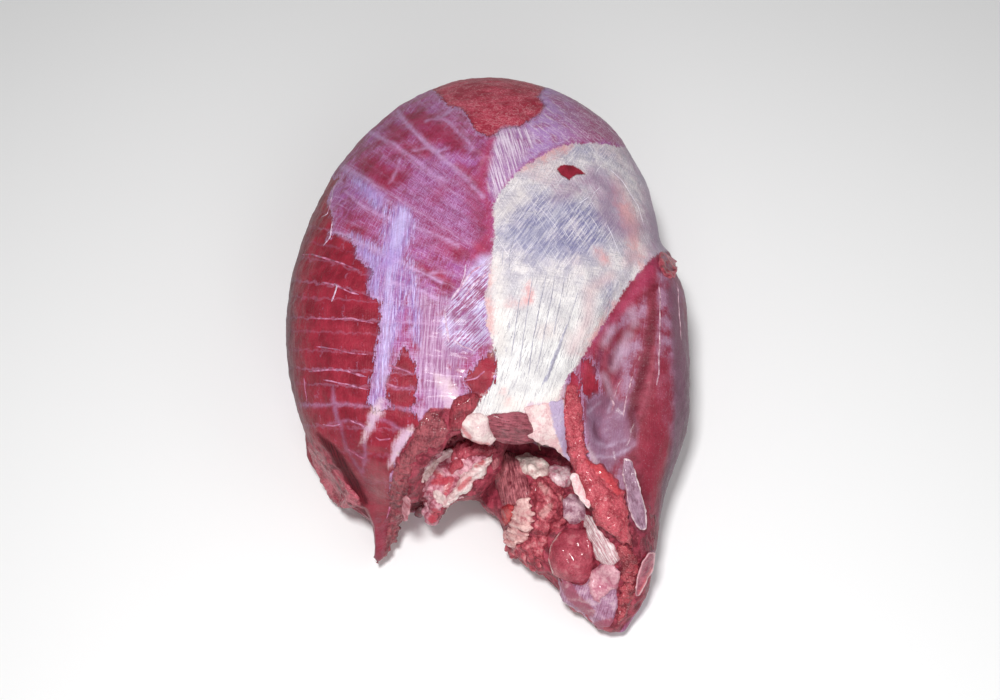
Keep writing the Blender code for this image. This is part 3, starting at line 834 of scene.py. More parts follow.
    scratches = scratches.larger(f.threads(grain, 0.0005, 0.020, 40, 2, 0.6).between(0.66, 0.71))
    white = f.blend(scratches * (1 - lowDown) * 0.8, white, ink(242, 236, 240))
    white = f.blend(pink * (0.25 + 0.55 * middle.between(0.40, 0.58)), white, ink(222, 160, 162))
    coloured = f.blend(silver * (1 - bare), coloured, white)

    wash = f.node("Attribute", {}, output="Vector", attribute_name="wash")
    wash = f.shade(wash, 0.60 + 0.52 * middle + 0.26 * uprightFine)
    wash = f.blend(dots.between(0.56, 0.74) * 0.15, wash, ink(222, 190, 206))
    coloured = f.blend(f.field("washCover") * (0.75 + 0.5 * upright).between(0.3, 1.1), coloured, wash)
    coloured = f.blend(hole, coloured, red)

    # Grey purple side membrane, darkened towards the bottom with painted shade, and inside meat
    lower = f.node("SeparateXYZ", {"Vector": grain}, output="Y").between(0.180, 0.245)
    sideMembraneShadeTone = f.blend(lower, ink(130, 82, 102), ink(84, 50, 66))
    sideMembraneShadeTone = f.blend(middle.between(0.45, 0.65) * 0.5, sideMembraneShadeTone, ink(122, 66, 88))
    coloured = f.blend(sideMembraneAndShade * 0.5, coloured, sideMembraneShadeTone)
    fatty = f.blend(middle.between(0.4, 0.6), ink(232, 206, 212), ink(210, 176, 200))
    coloured = f.blend(fat * (0.55 + 0.40 * middle.between(0.36, 0.56)), coloured, fatty)
    lumpy = f.clouds(place, 0.005, 4, 0.65)
    raw = f.blend(lumpy.between(0.38, 0.62), ink(104, 30, 44), ink(164, 62, 80))
    raw = f.blend(fine.between(0.52, 0.70) * 0.5, raw, ink(196, 104, 114))
    coloured = f.blend(mouth, coloured, raw)
    # Painted shade in the slit beside the rear flap
    slitShadeTone = f.blend(upright.between(0.40, 0.62), ink(52, 8, 18), ink(104, 20, 34))
    coloured = f.blend(slitShade * 0.95, coloured, slitShadeTone)

    f.feed(f.skin.inputs["Base Color"], coloured)
    rough = 0.30 + 0.30 * fine + 0.10 * silver + 0.45 * slitShade
    f.feed(f.skin.inputs["Roughness"], rough)
    height = 0.8 * lumpy * (1 - silver) + 0.35 * downFine + 0.5 * fine + 0.3 * dots
    height = height + 0.6 * (1 - bare) - 0.8 * hole + 0.5 * slantFine * silver + 0.2 * lines
    f.feed(f.skin.inputs["Normal"], f.bump(height, 0.0007))
    f.skin.inputs["Specular IOR Level"].default_value = 0.25
    f.skin.inputs["Coat Roughness"].default_value = 0.12
    f.feed(f.skin.inputs["Coat Weight"], (0.04 + 0.45 * zone("wet", 8, 10, 4)) * (1 - slitShade))
    return f.material


# The torn knee end: pads of meat, fat and membrane laid over the hollow
# Each has its outline in the picture, its height above what it lies on, and its two main colours.
knee = {
    "step": 1.3,  # pixels between a pad's first points
    "voxel": 0.0008,
    "sink": 0.004,
    "settle": 0.0010,  # how far a pad's edge starts below what it lies on
    "smoothing": 8,
    "raggedBy": 1.6,
    "raggedSize": 5,
}

kneePieces = {
    "maroonRoll": {"outline": [(482, 416), (490, 413), (498, 413), (512, 411), (528, 412), (532, 424),
        (538, 441), (522, 445), (504, 444), (490, 438), (485, 428)],
        "datum": [(486, 410), (500, 404), (515, 404), (528, 406)],
        "heights": [(500, 412, 0.0005), (520, 412, 0.0005), (508, 424, 0.002), (524, 426, 0.001),
            (490, 430, -0.002), (500, 442, -0.009), (515, 444, -0.010), (535, 444, -0.009)],
        "thick": 0.012, "dome": 0.003, "domeWidth": 5, "ragged": 0.8,
        "grooves": [(0.0022, 1.3, [(488, 418), (497, 423), (505, 421), (514, 423), (520, 420), (529, 423)]),
            (0.0012, 1.0, [(488, 430), (500, 433), (512, 430), (524, 434)])],
        "dark": (104, 38, 50), "light": (176, 92, 106), "strand": 0.5, "way": (1, 0.15)},
    "whiteRoll": {"outline": [(458, 424), (466, 414), (480, 411), (488, 418), (489, 428), (497, 440),
        (490, 446), (474, 442), (460, 435)],
        "datum": [(462, 408), (475, 404), (488, 404), (480, 410)],
        "heights": [(466, 414, 0.0), (480, 412, 0.0), (468, 424, 0.001), (480, 430, 0.0),
            (492, 443, -0.006), (464, 434, -0.004)],
        "thick": 0.012, "dome": 0.0018, "domeWidth": 9, "lumps": 0.0006, "lumpSize": 0.012,
        "dark": (216, 184, 186), "light": (240, 222, 218), "ragged": 0.8,
        "tintMarks": [[(472, 443, 2), (488, 446, 3)], [(462, 428, 2), (470, 438, 2)]],
        "tint": (204, 120, 124)},
    "redLobes": {"outline": [(452, 399), (465, 393), (477, 392), (482, 399), (475, 411), (466, 420),
        (462, 437), (453, 437), (448, 423), (449, 410)],
        "dome": 0.0045, "domeWidth": 5, "lumps": 0.0003, "ragged": 0.8, "flecks": 0.05,
        "grooves": [(0.0025, 1.0, [(448, 403), (462, 401), (472, 391)]),
            (0.0025, 1.0, [(446, 412), (460, 409), (481, 402)]),
            (0.0025, 1.0, [(446, 422), (458, 416), (472, 413)])],
        "dark": (112, 26, 40), "light": (172, 62, 76), "strand": 0.3},
    "chunkMeat": {"outline": [(421, 466), (430, 458), (440, 451), (454, 443), (472, 440), (493, 444),
        (499, 450), (492, 461), (483, 474), (471, 483), (463, 496), (452, 502), (443, 511), (435, 525),
        (427, 520), (424, 504), (418, 489), (417, 477)],
        "dome": 0.004, "domeWidth": 8, "lumps": 0.0030, "lumpSize": 0.009, "fineLumps": 0.0012,
        "dark": (150, 50, 72), "light": (222, 160, 176), "pale": 0.35,
        "paleMarks": [[(437, 494, 4), (441, 499, 5)], [(424, 480, 3), (430, 470, 4)],
            [(436, 462, 3), (430, 472, 3)]],
        "tintMarks": [[(434, 482, 3), (450, 480, 4), (446, 492, 3)], [(436, 514, 5), (432, 520, 4)],
            [(432, 470, 2), (440, 476, 3)]],
        "tint": (184, 54, 70)},
    "chunkTop": {"outline": [(450, 446), (460, 441), (473, 439), (493, 443), (500, 450), (492, 458),
        (478, 455), (468, 460), (456, 462), (450, 456)],
        "dome": 0.005, "domeWidth": 5, "lumps": 0.0022, "lumpSize": 0.005, "fineLumps": 0.0012,
        "dark": (138, 28, 48), "light": (196, 86, 102), "ragged": 2.5},
    "chunkRidge": {"outline": [(494, 452), (494, 461), (484, 475), (474, 484), (464, 497), (453, 503),
        (444, 512), (440, 505), (448, 494), (456, 482), (463, 472), (474, 464), (482, 458)],
        "dome": 0.0065, "domeWidth": 6, "lumps": 0.0022, "lumpSize": 0.007, "fineLumps": 0.0010,
        "dark": (222, 176, 178), "light": (252, 240, 236), "pale": 0.5, "ragged": 2.5,
        "tintMarks": [[(470, 478, 2), (460, 488, 3)], [(482, 462, 3), (476, 466, 2)]],
        "tint": (196, 84, 92)},
    "chunkKnob": {"outline": [(446, 474), (448, 464), (455, 459), (464, 458), (466, 464), (460, 471),
        (452, 476)],
        "dome": 0.0070, "domeWidth": 4, "lumps": 0.0010, "lumpSize": 0.004, "dark": (156, 36, 54),
        "light": (200, 88, 102)},
    "chunkLobe": {"outline": [(434, 461), (437, 453), (445, 448), (457, 444), (457, 452), (448, 458),
        (441, 464)],
        "dome": 0.0060, "domeWidth": 4,
        "grooves": [(0.0016, 1.0, [(440, 450), (446, 460)]), (0.0016, 1.0, [(446, 447), (452, 456)])],
        "dark": (222, 178, 184), "light": (250, 232, 232)},
    "curledStrip": {"outline": [(413, 459), (418, 453), (426, 451), (425, 462), (421, 474), (421, 486),
        (418, 495), (412, 490), (410, 477)],
        "datum": [(408, 460), (406, 480), (430, 462), (430, 488)],
        "thick": 0.005, "dome": 0.003, "domeWidth": 4, "lumps": 0.0010, "lumpSize": 0.004,
        "dark": (176, 44, 48), "light": (224, 104, 96)},
    "innerFibres": {"outline": [(489, 462), (500, 453), (512, 451), (520, 458), (524, 470), (531, 482),
        (532, 497), (524, 505), (512, 508), (503, 508), (497, 492), (491, 475)],
        "dome": 0.003, "domeWidth": 5, "ripple": (0.0012, 4.2), "dark": (116, 34, 50),
        "light": (214, 128, 136), "strand": 0.6, "way": (0.22, 1)},
    "innerFat": {"outline": [(516, 458), (526, 455), (541, 457), (548, 464), (547, 475), (537, 479),
        (526, 478), (518, 470)],
        "dome": 0.005, "domeWidth": 4, "lumps": 0.0026, "lumpSize": 0.005,
        "grooves": [(0.0025, 1.2, [(524, 454), (528, 468), (524, 480)])],
        "dark": (206, 160, 160), "light": (250, 234, 226)},
    "pinkKnob": {"outline": [(548, 468), (556, 462), (570, 466), (572, 478), (567, 490), (557, 488),
        (549, 479)],
        "dome": 0.006, "domeWidth": 5, "lumps": 0.0016, "lumpSize": 0.006,
        "grooves": [(0.0018, 1.0, [(552, 464), (554, 476), (562, 488)])],
        "dark": (196, 116, 136), "light": (246, 222, 226)},
    "redFolds": {"outline": [(527, 486), (536, 474), (547, 470), (552, 480), (564, 490), (567, 502),
        (564, 515), (564, 530), (552, 535), (546, 548), (544, 566), (532, 570), (520, 562), (508, 556),
        (504, 546), (518, 544), (530, 536), (535, 520), (531, 500)],
        "dome": 0.004, "domeWidth": 6, "lobes": (0.0036, 0.0065), "lumps": 0.0012, "fineLumps": 0.0008,
        "dark": (126, 30, 46), "light": (202, 86, 100), "pale": 0.3,
        "tintMarks": [[(540, 484, 2), (546, 492, 3)], [(550, 506, 3), (543, 514, 4)],
            [(560, 496, 1), (566, 504, 2)]],
        "tint": (214, 150, 150)},
    "lobulePad": {"outline": [(513, 508), (524, 500), (531, 497), (530, 506), (534, 516), (532, 530),
        (526, 542), (514, 547), (504, 546), (502, 536), (507, 522)],
        "dome": 0.004, "domeWidth": 5, "lumps": 0.0016, "lumpSize": 0.005, "dark": (178, 96, 104),
        "light": (236, 186, 182)},
    "redKnob": {"outline": [(501, 508), (508, 503), (516, 505), (514, 515), (508, 525), (503, 530),
        (500, 519)],
        "dome": 0.006, "domeWidth": 5, "lumps": 0.0010, "lumpSize": 0.006, "dark": (160, 28, 42),
        "light": (212, 84, 84)},
    "floorMuscle": {"outline": [(560, 531), (575, 527), (588, 529), (593, 545), (594, 560), (591, 577),
        (580, 585), (565, 582), (552, 575), (546, 560), (549, 544)],
        "dome": 0.008, "domeWidth": 9, "lumps": 0.0008, "lumpSize": 0.018, "fineLumps": 0.0001,
        "ragged": 0.6,
        "grooves": [(0.0014, 1.4, [(566, 556), (572, 570), (582, 568)])],
        "dark": (146, 44, 62), "light": (184, 74, 92), "pale": 0.15,
        "paleMarks": [[(560, 532, 0.8), (551, 543, 1.2), (547, 558, 1.2), (552, 573, 1.0)]]},
    "greyPatch": {"outline": [(561, 500), (570, 493), (583, 496), (588, 509), (587, 522), (574, 526),
        (562, 519)],
        "dome": 0.004, "domeWidth": 5, "lumps": 0.0014, "lumpSize": 0.008, "dark": (140, 84, 104),
        "light": (216, 180, 194), "pale": 0.5},
    "tendon": {"outline": [(583, 511), (592, 515), (602, 531), (614, 545), (622, 560), (614, 568),
        (602, 568), (592, 553), (587, 537), (583, 524)],
        "dome": 0.004, "domeWidth": 5, "lumps": 0.0008, "ripple": (0.0004, 2.8), "ragged": 2.2,
        "dark": (200, 140, 150), "light": (250, 238, 238), "strand": 0.7, "way": (0.5, 0.86)},
    "footSkin": {"outline": [(557, 566), (566, 578), (580, 585), (592, 575), (600, 562), (612, 562),
        (622, 572), (620, 592), (618, 612), (613, 626), (601, 631), (588, 620), (575, 610), (562, 601),
        (558, 585)],
        "dome": 0.003, "domeWidth": 6, "lumps": 0.0012, "lumpSize": 0.012, "ripple": (0.0003, 2.8),
        "dark": (142, 84, 114), "light": (200, 156, 186), "strand": 0.4, "way": (-0.3, 1), "pale": 0.3,
        "tintMarks": [[(566, 584, 6), (572, 596, 6), (590, 612, 5)], [(598, 626, 5), (610, 622, 4)]],
        "tint": (158, 70, 92)},
    "footFat": {"outline": [(590, 570), (605, 564), (618, 565), (624, 574), (616, 588), (605, 598),
        (600, 607), (591, 601), (587, 586)],
        "dome": 0.005, "domeWidth": 4, "lumps": 0.0016, "lumpSize": 0.009, "dark": (190, 110, 132),
        "light": (230, 180, 190), "ragged": 2.5},
    "footRed": {"outline": [(614, 543), (630, 545), (640, 560), (639, 580), (634, 600), (625, 620),
        (615, 628), (617, 602), (622, 580), (618, 560)],
        "dome": 0.0035, "domeWidth": 5, "lumps": 0.0016, "lumpSize": 0.004, "fineLumps": 0.0010,
        "dark": (116, 24, 38), "light": (178, 66, 78), "flecks": 0.5},
    "cutStrip": {"outline": [(572, 380), (578, 388), (582, 404), (584, 436), (589, 460), (602, 462),
        (612, 474), (623, 490), (628, 506), (629, 524), (632, 548), (622, 544), (612, 534), (604, 529),
        (596, 526), (593, 512), (584, 500), (577, 480), (569, 462), (565, 436), (562, 410), (565, 392)],
        "heights": [(572, 384, 0.000), (574, 410, 0.001), (574, 440, 0.002), (580, 470, 0.004),
            (594, 490, 0.006), (604, 512, 0.007), (612, 530, 0.007), (629, 546, 0.005),
            (600, 465, 0.003), (624, 500, 0.003)],
        "dome": 0.003, "domeWidth": 4, "lumps": 0.0009, "lumpSize": 0.005, "fineLumps": 0.0007,
        "ragged": 2.6,
        "grooves": [(0.0030, 1.3, [(589, 466), (600, 475), (608, 486), (613, 492)]),
            (0.0012, 1.2, [(567, 400), (574, 430), (576, 458)])],
        "dark": (154, 42, 58), "light": (204, 84, 98), "flecks": 0.5,
        "tintMarks": [[(588, 461, 2), (598, 468, 4), (608, 478, 4), (618, 492, 3)]],
        "tint": (192, 56, 66)},
    "tongue": {"outline": [(623, 457), (634, 460), (638, 478), (643, 494), (647, 510), (648, 528),
        (642, 533), (634, 524), (627, 508), (625, 492), (621, 473)],
        "heights": [(628, 466, 0.003), (632, 490, 0.006), (638, 510, 0.007), (643, 528, 0.006)],
        "thick": 0.0022, "dome": 0.0014, "domeWidth": 2, "ragged": 0.5,
        "grooves": [(0.0010, 2.5, [(630, 476), (636, 500), (641, 520)])],
        "dark": (126, 84, 106), "light": (178, 142, 164), "strand": 0.3, "way": (0.3, 1),
        "rim": (246, 218, 224), "flecks": 0.1},
    "paleFlap": {"outline": [(568, 472), (578, 473), (585, 489), (592, 503), (590, 511), (580, 502),
        (572, 489)],
        "datum": [(582, 470), (592, 488), (602, 505), (584, 458), (600, 480)],
        "heights": [(572, 476, 0.003), (580, 492, 0.005), (589, 508, 0.006)],
        "thick": 0.0032, "dome": 0.0012, "domeWidth": 2, "ragged": 0.8, "dark": (222, 156, 164),
        "light": (248, 222, 222), "rim": (252, 232, 230)},
    "ringFlap": {"outline": [(634, 596), (636, 578), (641, 562), (649, 551), (656, 552), (655, 568),
        (647, 584), (638, 600)],
        "heights": [(640, 570, 0.004), (650, 556, 0.004), (638, 594, 0.003)],
        "thick": 0.0040, "dome": 0.0016, "domeWidth": 2, "ragged": 0.6,
        "grooves": [(0.0024, 2.6, [(640, 584), (644, 570), (649, 560)])],
        "dark": (140, 64, 84), "light": (196, 112, 128), "rim": (240, 188, 196),
        "tintMarks": [[(652, 570, 2), (646, 582, 2.5), (640, 594, 2)]],
        "tint": (204, 96, 104)},
    "darkRidges": {"outline": [(640, 500), (652, 505), (657, 520), (656, 550), (648, 552), (640, 562),
        (636, 545), (642, 532), (648, 528), (646, 512)],
        "dome": 0.0015, "domeWidth": 4, "ripple": (0.0010, 4.0), "dark": (86, 22, 36),
        "light": (146, 56, 74), "strand": 0.6, "way": (0.1, 1)},
    "lipFlap": {"outline": [(522, 408), (534, 403), (552, 400), (566, 398), (566, 418), (567, 440),
        (572, 464), (562, 456), (556, 450), (548, 447), (538, 444), (530, 439), (524, 434), (527, 420)],
        "datum": [(524, 404), (540, 402), (560, 402), (566, 420), (540, 420)],
        "heights": [(530, 408, 0.0006), (560, 404, 0.0006), (545, 425, 0.001), (560, 430, 0.001),
            (530, 434, -0.001), (548, 446, -0.004), (566, 458, -0.006)],
        "thick": 0.0035, "dome": 0.0010, "domeWidth": 3, "lumps": 0.0008, "lumpSize": 0.010,
        "ragged": 1.4, "dark": (222, 176, 180), "light": (248, 226, 224), "pale": 0.4,
        "tintMarks": [[(556, 402, 7), (561, 424, 8), (566, 446, 5), (568, 460, 3)]],
        "tint": (178, 160, 198)},
    "cutFace": {"outline": [(432, 408), (444, 418), (452, 430), (457, 439), (442, 446), (430, 449),
        (417, 457), (412, 470), (409, 490), (406, 505), (403, 522), (396, 540), (387, 556), (381, 562),
        (384, 540), (388, 520), (389, 500), (391, 474), (398, 460), (408, 444), (416, 430), (423, 414)],
        "dome": 0.0025, "domeWidth": 3, "lumps": 0.0012, "lumpSize": 0.005, "fineLumps": 0.0012,
        "ragged": 1.4, "dark": (104, 34, 46), "light": (168, 80, 90), "flecks": 0.15, "strand": 0.3,
        "way": (-0.2, 1)},
    "rearFlap": {"outline": [(307, 444), (316, 446), (327, 457), (337, 470), (349, 484), (360, 497),
        (363, 505), (356, 508), (341, 509), (331, 501), (319, 480)],
        "dome": 0.0034, "domeWidth": 4, "lumps": 0.0005, "lumpSize": 0.008, "fineLumps": 0.0006,
        "ragged": 0.8, "dark": (136, 40, 58), "light": (190, 86, 104), "flecks": 0.5},
    "vesselStump": {"outline": [(657, 256), (661, 250), (668, 254), (676, 260), (679, 269), (675, 279),
        (666, 279), (659, 271)],
        "dome": 0.0050, "domeWidth": 3, "lumps": 0.0012, "lumpSize": 0.004, "ragged": 1.0,
        "grooves": [(0.0070, 2.4, [(669, 266), (671, 269)])],
        "dark": (120, 26, 44), "light": (196, 82, 98), "rim": (186, 96, 112)},
    "fatTip": {"outline": [(401, 498), (406, 494), (412, 499), (411, 511), (408, 521), (403, 522),
        (401, 512)],
        "datum": [(398, 495), (398, 510), (396, 505)],
        "thick": 0.006, "dome": 0.0020, "domeWidth": 3, "ragged": 0.6, "dark": (176, 62, 80),
        "light": (232, 170, 180)},
    "smallTag": {"outline": [(416, 506), (423, 504), (425, 512), (423, 518), (415, 519), (413, 514)],
        "datum": [(421, 500), (426, 506), (430, 504)],
        "thick": 0.006, "dome": 0.0020, "domeWidth": 3, "ragged": 0.6, "dark": (84, 20, 36),
        "light": (140, 52, 68)},
}




kneeFingers = {  # soft fat lobules, each from its root to its tip in the picture
    "radius": 0.0018,
    "rise": 0.0030,
    "middle": (520, 520),
    "ends": [((518, 502), (529, 499)), ((515, 507), (531, 506)), ((513, 512), (534, 514)),
             ((512, 518), (534, 521)), ((510, 524), (532, 528)), ((508, 530), (528, 535)),
             ((506, 536), (522, 541)), ((504, 541), (515, 546)), ((520, 514), (528, 511)),
             ((518, 526), (527, 530))],
    "lumps": (0.0004, 0.003),
    "look": {"dark": (206, 140, 142), "light": (244, 206, 200), "way": (1, 0.2)},
}

lipThread = {  # a thin thread of sinew that hangs from the lip
    "radius": 0.00035,
    "start": (540, 440),
    "marks": [(538, 443, 0.002), (540, 449, 0.001), (542, 456, 0.0), (545, 465, 0.0)],  # x, y, height
    "look": {"dark": (220, 150, 130), "light": (248, 214, 196)},
}

sinewShape = {
    "wander": 1.2,  # pixels by which a line strays
    "wanderSize": 14,
    "high": 0.0004,
    "sunk": 0.00022,
    "spread": 1.25,
    "uneven": 0.6,
    "unevenSize": 6,
    "look": {"flecks": 0, "coat": 0, "bump": 0.0001},
}


def fibreWays(shape):  # the way that a piece's fibres run in the picture, and the way across them
    way = np.array(shape.get("way", (0, 1)), float)
    way /= np.linalg.norm(way)
    return way, np.array((-way[1], way[0]))


def swirl(spots, size, seed):
    return np.array([noise.noise(Vector((x / size, y / size, seed))) for x, y in spots])


def heightOver(spots, marks):  # heights given at some spots, spread between them
    total = np.zeros(len(spots))
    weights = np.zeros(len(spots))
    for x, y, height in marks:
        near = 1 / (np.hypot(spots[:, 0] - x, spots[:, 1] - y) + 2) ** 3
        total += near * height
        weights += near
    return total / weights


def depthAt(tree, pixel):  # how far along the view a ray meets the solid
    hit = tree.ray_cast(cameraPlace, rayThrough(pixel))[0]
    return (hit - cameraPlace).dot(-towardsCamera) if hit else None


def padDepths(tree, builder, spots, shape):
    if "datum" in shape:  # a plane through a few spots
        marks = [(x, y, depthAt(tree, (x, y))) for x, y in shape["datum"]]
        marks = np.array([mark for mark in marks if mark[2]])
        rows = np.column_stack((np.ones(len(marks)), marks[:, 0], marks[:, 1]))
        plane = np.linalg.lstsq(rows, marks[:, 2], rcond=None)[0]
        return plane[0] + spots @ plane[1:]
    depths = np.array([depthAt(tree, spot) or np.nan for spot in spots])
    known = np.flatnonzero(~np.isnan(depths))
    for place in np.flatnonzero(np.isnan(depths)):  # beyond the meat, as deep as the nearest meat
        gaps = np.linalg.norm(spots[known] - spots[place], axis=1)
        depths[place] = depths[known[np.argmin(gaps)]]
    for _ in range(knee["smoothing"]):  # steps in what lies below are eased
        depths = np.array([np.mean([depths[vert.index]] + [depths[edge.other_vert(vert).index]
                           for edge in vert.link_edges]) for vert in builder.verts])
    return depths


def alongView(spots, depths):  # model points for spots at given depths
    across = (spots[:, 0] - view["pictureWidth"] / 2) / focalPixels
    up = (view["pictureHeight"] / 2 - spots[:, 1]) / focalPixels
    away = np.column_stack((across, up)) @ np.array((cameraRight, cameraUp)) - np.array(towardsCamera)
    return np.array(cameraPlace) + depths[:, None] * away


def makePad(name, shape, tree, seed):
    outline = shape["outline"]
    left, right = min(x for x, y in outline) - 3, max(x for x, y in outline) + 3
    top, bottom = min(y for x, y in outline) - 3, max(y for x, y in outline) + 3
    builder = bmesh.new()
    columns, rows = int((right - left) / knee["step"]), int((bottom - top) / knee["step"])
    bmesh.ops.create_grid(builder, x_segments=columns, y_segments=rows, size=0.5)
    bmesh.ops.scale(builder, vec=(right - left, bottom - top, 1), verts=builder.verts)
    bmesh.ops.translate(builder, vec=((left + right) / 2, (top + bottom) / 2, 0), verts=builder.verts)
    spots = np.array([vert.co.xy for vert in builder.verts])
    ragged = shape.get("ragged", knee["raggedBy"]) * swirl(spots, knee["raggedSize"], seed) * 2
    keep = patch(spots, outline) + ragged > 0
    outside = [vert for vert, kept in zip(builder.verts, keep) if not kept]
    bmesh.ops.delete(builder, geom=outside, context="VERTS")
    loose = [vert for vert in builder.verts if not vert.link_faces]
    bmesh.ops.delete(builder, geom=loose, context="VERTS")
    builder.verts.index_update()

    spots = np.array([vert.co.xy for vert in builder.verts])
    within = np.maximum(patch(spots, outline) + 2, 0)
    depths = padDepths(tree, builder, spots, shape)
    height = shape["dome"] * np.sqrt(1 - np.exp(-(within / shape["domeWidth"]) ** 2))
    if "thick" not in shape:
        height -= knee["settle"]
    if "heights" in shape:
        height += heightOver(spots, shape["heights"])
    for depth, width, line in shape.get("grooves", []):
        gap = -stroke(spots, [(x, y, 0) for x, y in line])
        height -= depth * np.exp(-(gap / width) ** 2)
    if "ripple" in shape:
        sideways = fibreWays(shape)[1]
        size, gap = shape["ripple"]
        height += size * np.sin(2 * math.pi * (spots @ sideways / gap + 0.5 * swirl(spots, 12, seed + 5)))
    front = alongView(spots, depths - height)
    if "thick" in shape:
        back = alongView(spots, depths - height + shape["thick"])
    else:
        back = alongView(spots, depths + knee["sink"])

    order = builder.verts.layers.int.new("order")
    for vert in builder.verts:
        vert[order] = vert.index
    fronts = builder.verts[:]
    made = bmesh.ops.extrude_face_region(builder, geom=builder.faces[:])["geom"]
    backs = [vert for vert in made if isinstance(vert, bmesh.types.BMVert)]
    for vert, place in zip(fronts, front):
        vert.co = place
    for vert in backs:
        vert.co = back[vert[order]]
    bmesh.ops.recalc_face_normals(builder, faces=builder.faces)

    piece = newPiece(name, builder)
    mesh, points = rounded(piece, knee["voxel"])
    normals = pointsOf(mesh, normals=True)
    relief = shape.get("lumps", 0.0006) * noiseOver(points + seed, shape.get("lumpSize", 0.005))
    relief += shape.get("fineLumps", 0.0002) * noiseOver(points + seed, 0.0018)
    if "lobes" in shape:
        depth, size = shape["lobes"]
        gaps = np.array([noise.voronoi(Vector(point))[0] for point in points / size])
        relief += depth * (np.minimum(gaps[:, 1] - gaps[:, 0], 0.5) - 0.25)
    points += normals * relief[:, None]
    setPoints(mesh, points)
    dress(piece, points, shape)
    return piece


def rounded(piece, size):  # remeshed as one body, then eased
    mesh = remeshed(piece, size).data
    points = easedPoints(mesh)
    setPoints(mesh, points)
    return mesh, points


def makeFingers(tree):
    builder = bmesh.new()
    for (rootX, rootY), (tipX, tipY) in kneeFingers["ends"]:
        spots = np.array([(rootX, rootY), (tipX, tipY)], float)
        level = depthAt(tree, kneeFingers["middle"])
        depths = np.array([depthAt(tree, spot) or level for spot in spots]) - kneeFingers["rise"]
        root, tip = [Vector(point) for point in alongView(spots, depths)]
        length = (tip - root).length / 2
        ball = bmesh.ops.create_uvsphere(builder, u_segments=16, v_segments=12, radius=1)["verts"]
        radius = kneeFingers["radius"] * random.uniform(0.85, 1.15)
        bmesh.ops.scale(builder, vec=(radius, radius, length + radius), verts=ball)
        lie = (tip - root).to_track_quat("Z", "Y").to_matrix()
        bmesh.ops.rotate(builder, matrix=lie, verts=ball)
        bmesh.ops.translate(builder, vec=(root + tip) / 2, verts=ball)
    piece = newPiece("fatLobules", builder)
    mesh, points = rounded(piece, knee["voxel"])
    high, size = kneeFingers["lumps"]
    points += pointsOf(mesh, normals=True) * (high * noiseOver(points, size))[:, None]
    setPoints(mesh, points)
    dress(piece, points, kneeFingers["look"])
    return piece


def makeThread(tree):  # a tube through spots in the picture
    marks = np.array(lipThread["marks"])
    level = depthAt(tree, lipThread["start"])
    route = [Vector(p) for p in alongView(marks[:, :2], level - marks[:, 2])]
    builder = bmesh.new()
    radius = lipThread["radius"]
    ring = bmesh.ops.create_circle(builder, cap_ends=True, radius=radius, segments=8)["verts"]
    turn = (route[1] - route[0]).to_track_quat("Z", "Y").to_matrix()
    bmesh.ops.rotate(builder, matrix=turn, verts=ring)
    bmesh.ops.translate(builder, vec=route[0], verts=ring)
    end = builder.faces[:]
    for near, far in zip(route, route[1:]):
        made = bmesh.ops.extrude_face_region(builder, geom=end)["geom"]
        end = [part for part in made if isinstance(part, bmesh.types.BMFace)]
        ring = [part for part in made if isinstance(part, bmesh.types.BMVert)]
        bmesh.ops.translate(builder, vec=far - near, verts=ring)
    bmesh.ops.recalc_face_normals(builder, faces=builder.faces)
    piece = newPiece("lipThread", builder)
    dress(piece, pointsOf(piece.data), lipThread["look"])
    return piece


def makeSinews(name, group, tree):  # flat threads that follow the skin
    builder = bmesh.new()
    order = builder.verts.layers.int.new("order")
    for width, marks in group["lines"]:
        marks = np.array(marks, float)
        lengths = np.concatenate(([0], np.cumsum(np.linalg.norm(np.diff(marks, axis=0), axis=1))))
        steps = np.linspace(0, lengths[-1], max(4, int(lengths[-1] / 2)))
        spots = np.column_stack([np.interp(steps, lengths, marks[:, axis]) for axis in (0, 1)])
        wander, size = group.get("wander", sinewShape["wander"]), sinewShape["wanderSize"]
        spots += wander * np.column_stack([swirl(spots, size, seed) for seed in (61, 67)])
        hits = [tree.ray_cast(cameraPlace, rayThrough(spot))[:2] for spot in spots]
        route = [(place, out, spot) for (place, out), spot in zip(hits, spots) if place]
        if len(route) < 4:
            continue
        first = bmesh.ops.create_circle(builder, cap_ends=True, radius=1, segments=8)["verts"]
        for count, vert in enumerate(first):
            vert[order] = count
        end = list({face for vert in first for face in vert.link_faces})
        rings = [first]
        for _ in route[1:]:
            made = bmesh.ops.extrude_face_region(builder, geom=end)["geom"]
            end = [part for part in made if isinstance(part, bmesh.types.BMFace)]
            rings.append([part for part in made if isinstance(part, bmesh.types.BMVert)])
        for count, (ring, (place, out, spot)) in enumerate(zip(rings, route)):
            ahead = route[min(count + 1, len(route) - 1)][0] - route[max(count - 1, 0)][0]
            side = ahead.cross(out).normalized()
            share = count / (len(route) - 1)
            taper = min(1, 5 * share + 0.2, 5 * (1 - share) + 0.2)
            uneven = noise.noise(Vector((*(spot / sinewShape["unevenSize"]), 4)))
            half = sinewShape["spread"] * width * taper * (1 + sinewShape["uneven"] * uneven) * pixelSize
            for vert in ring:
                angle = vert[order] * math.pi / 4
                high = sinewShape["high"] * taper * math.sin(angle) - sinewShape["sunk"]
                vert.co = place + out * high + side * half * math.cos(angle)
    bmesh.ops.recalc_face_normals(builder, faces=builder.faces)
    piece = newPiece(name, builder)
    dress(piece, pointsOf(piece.data), group | sinewShape["look"])
    return piece


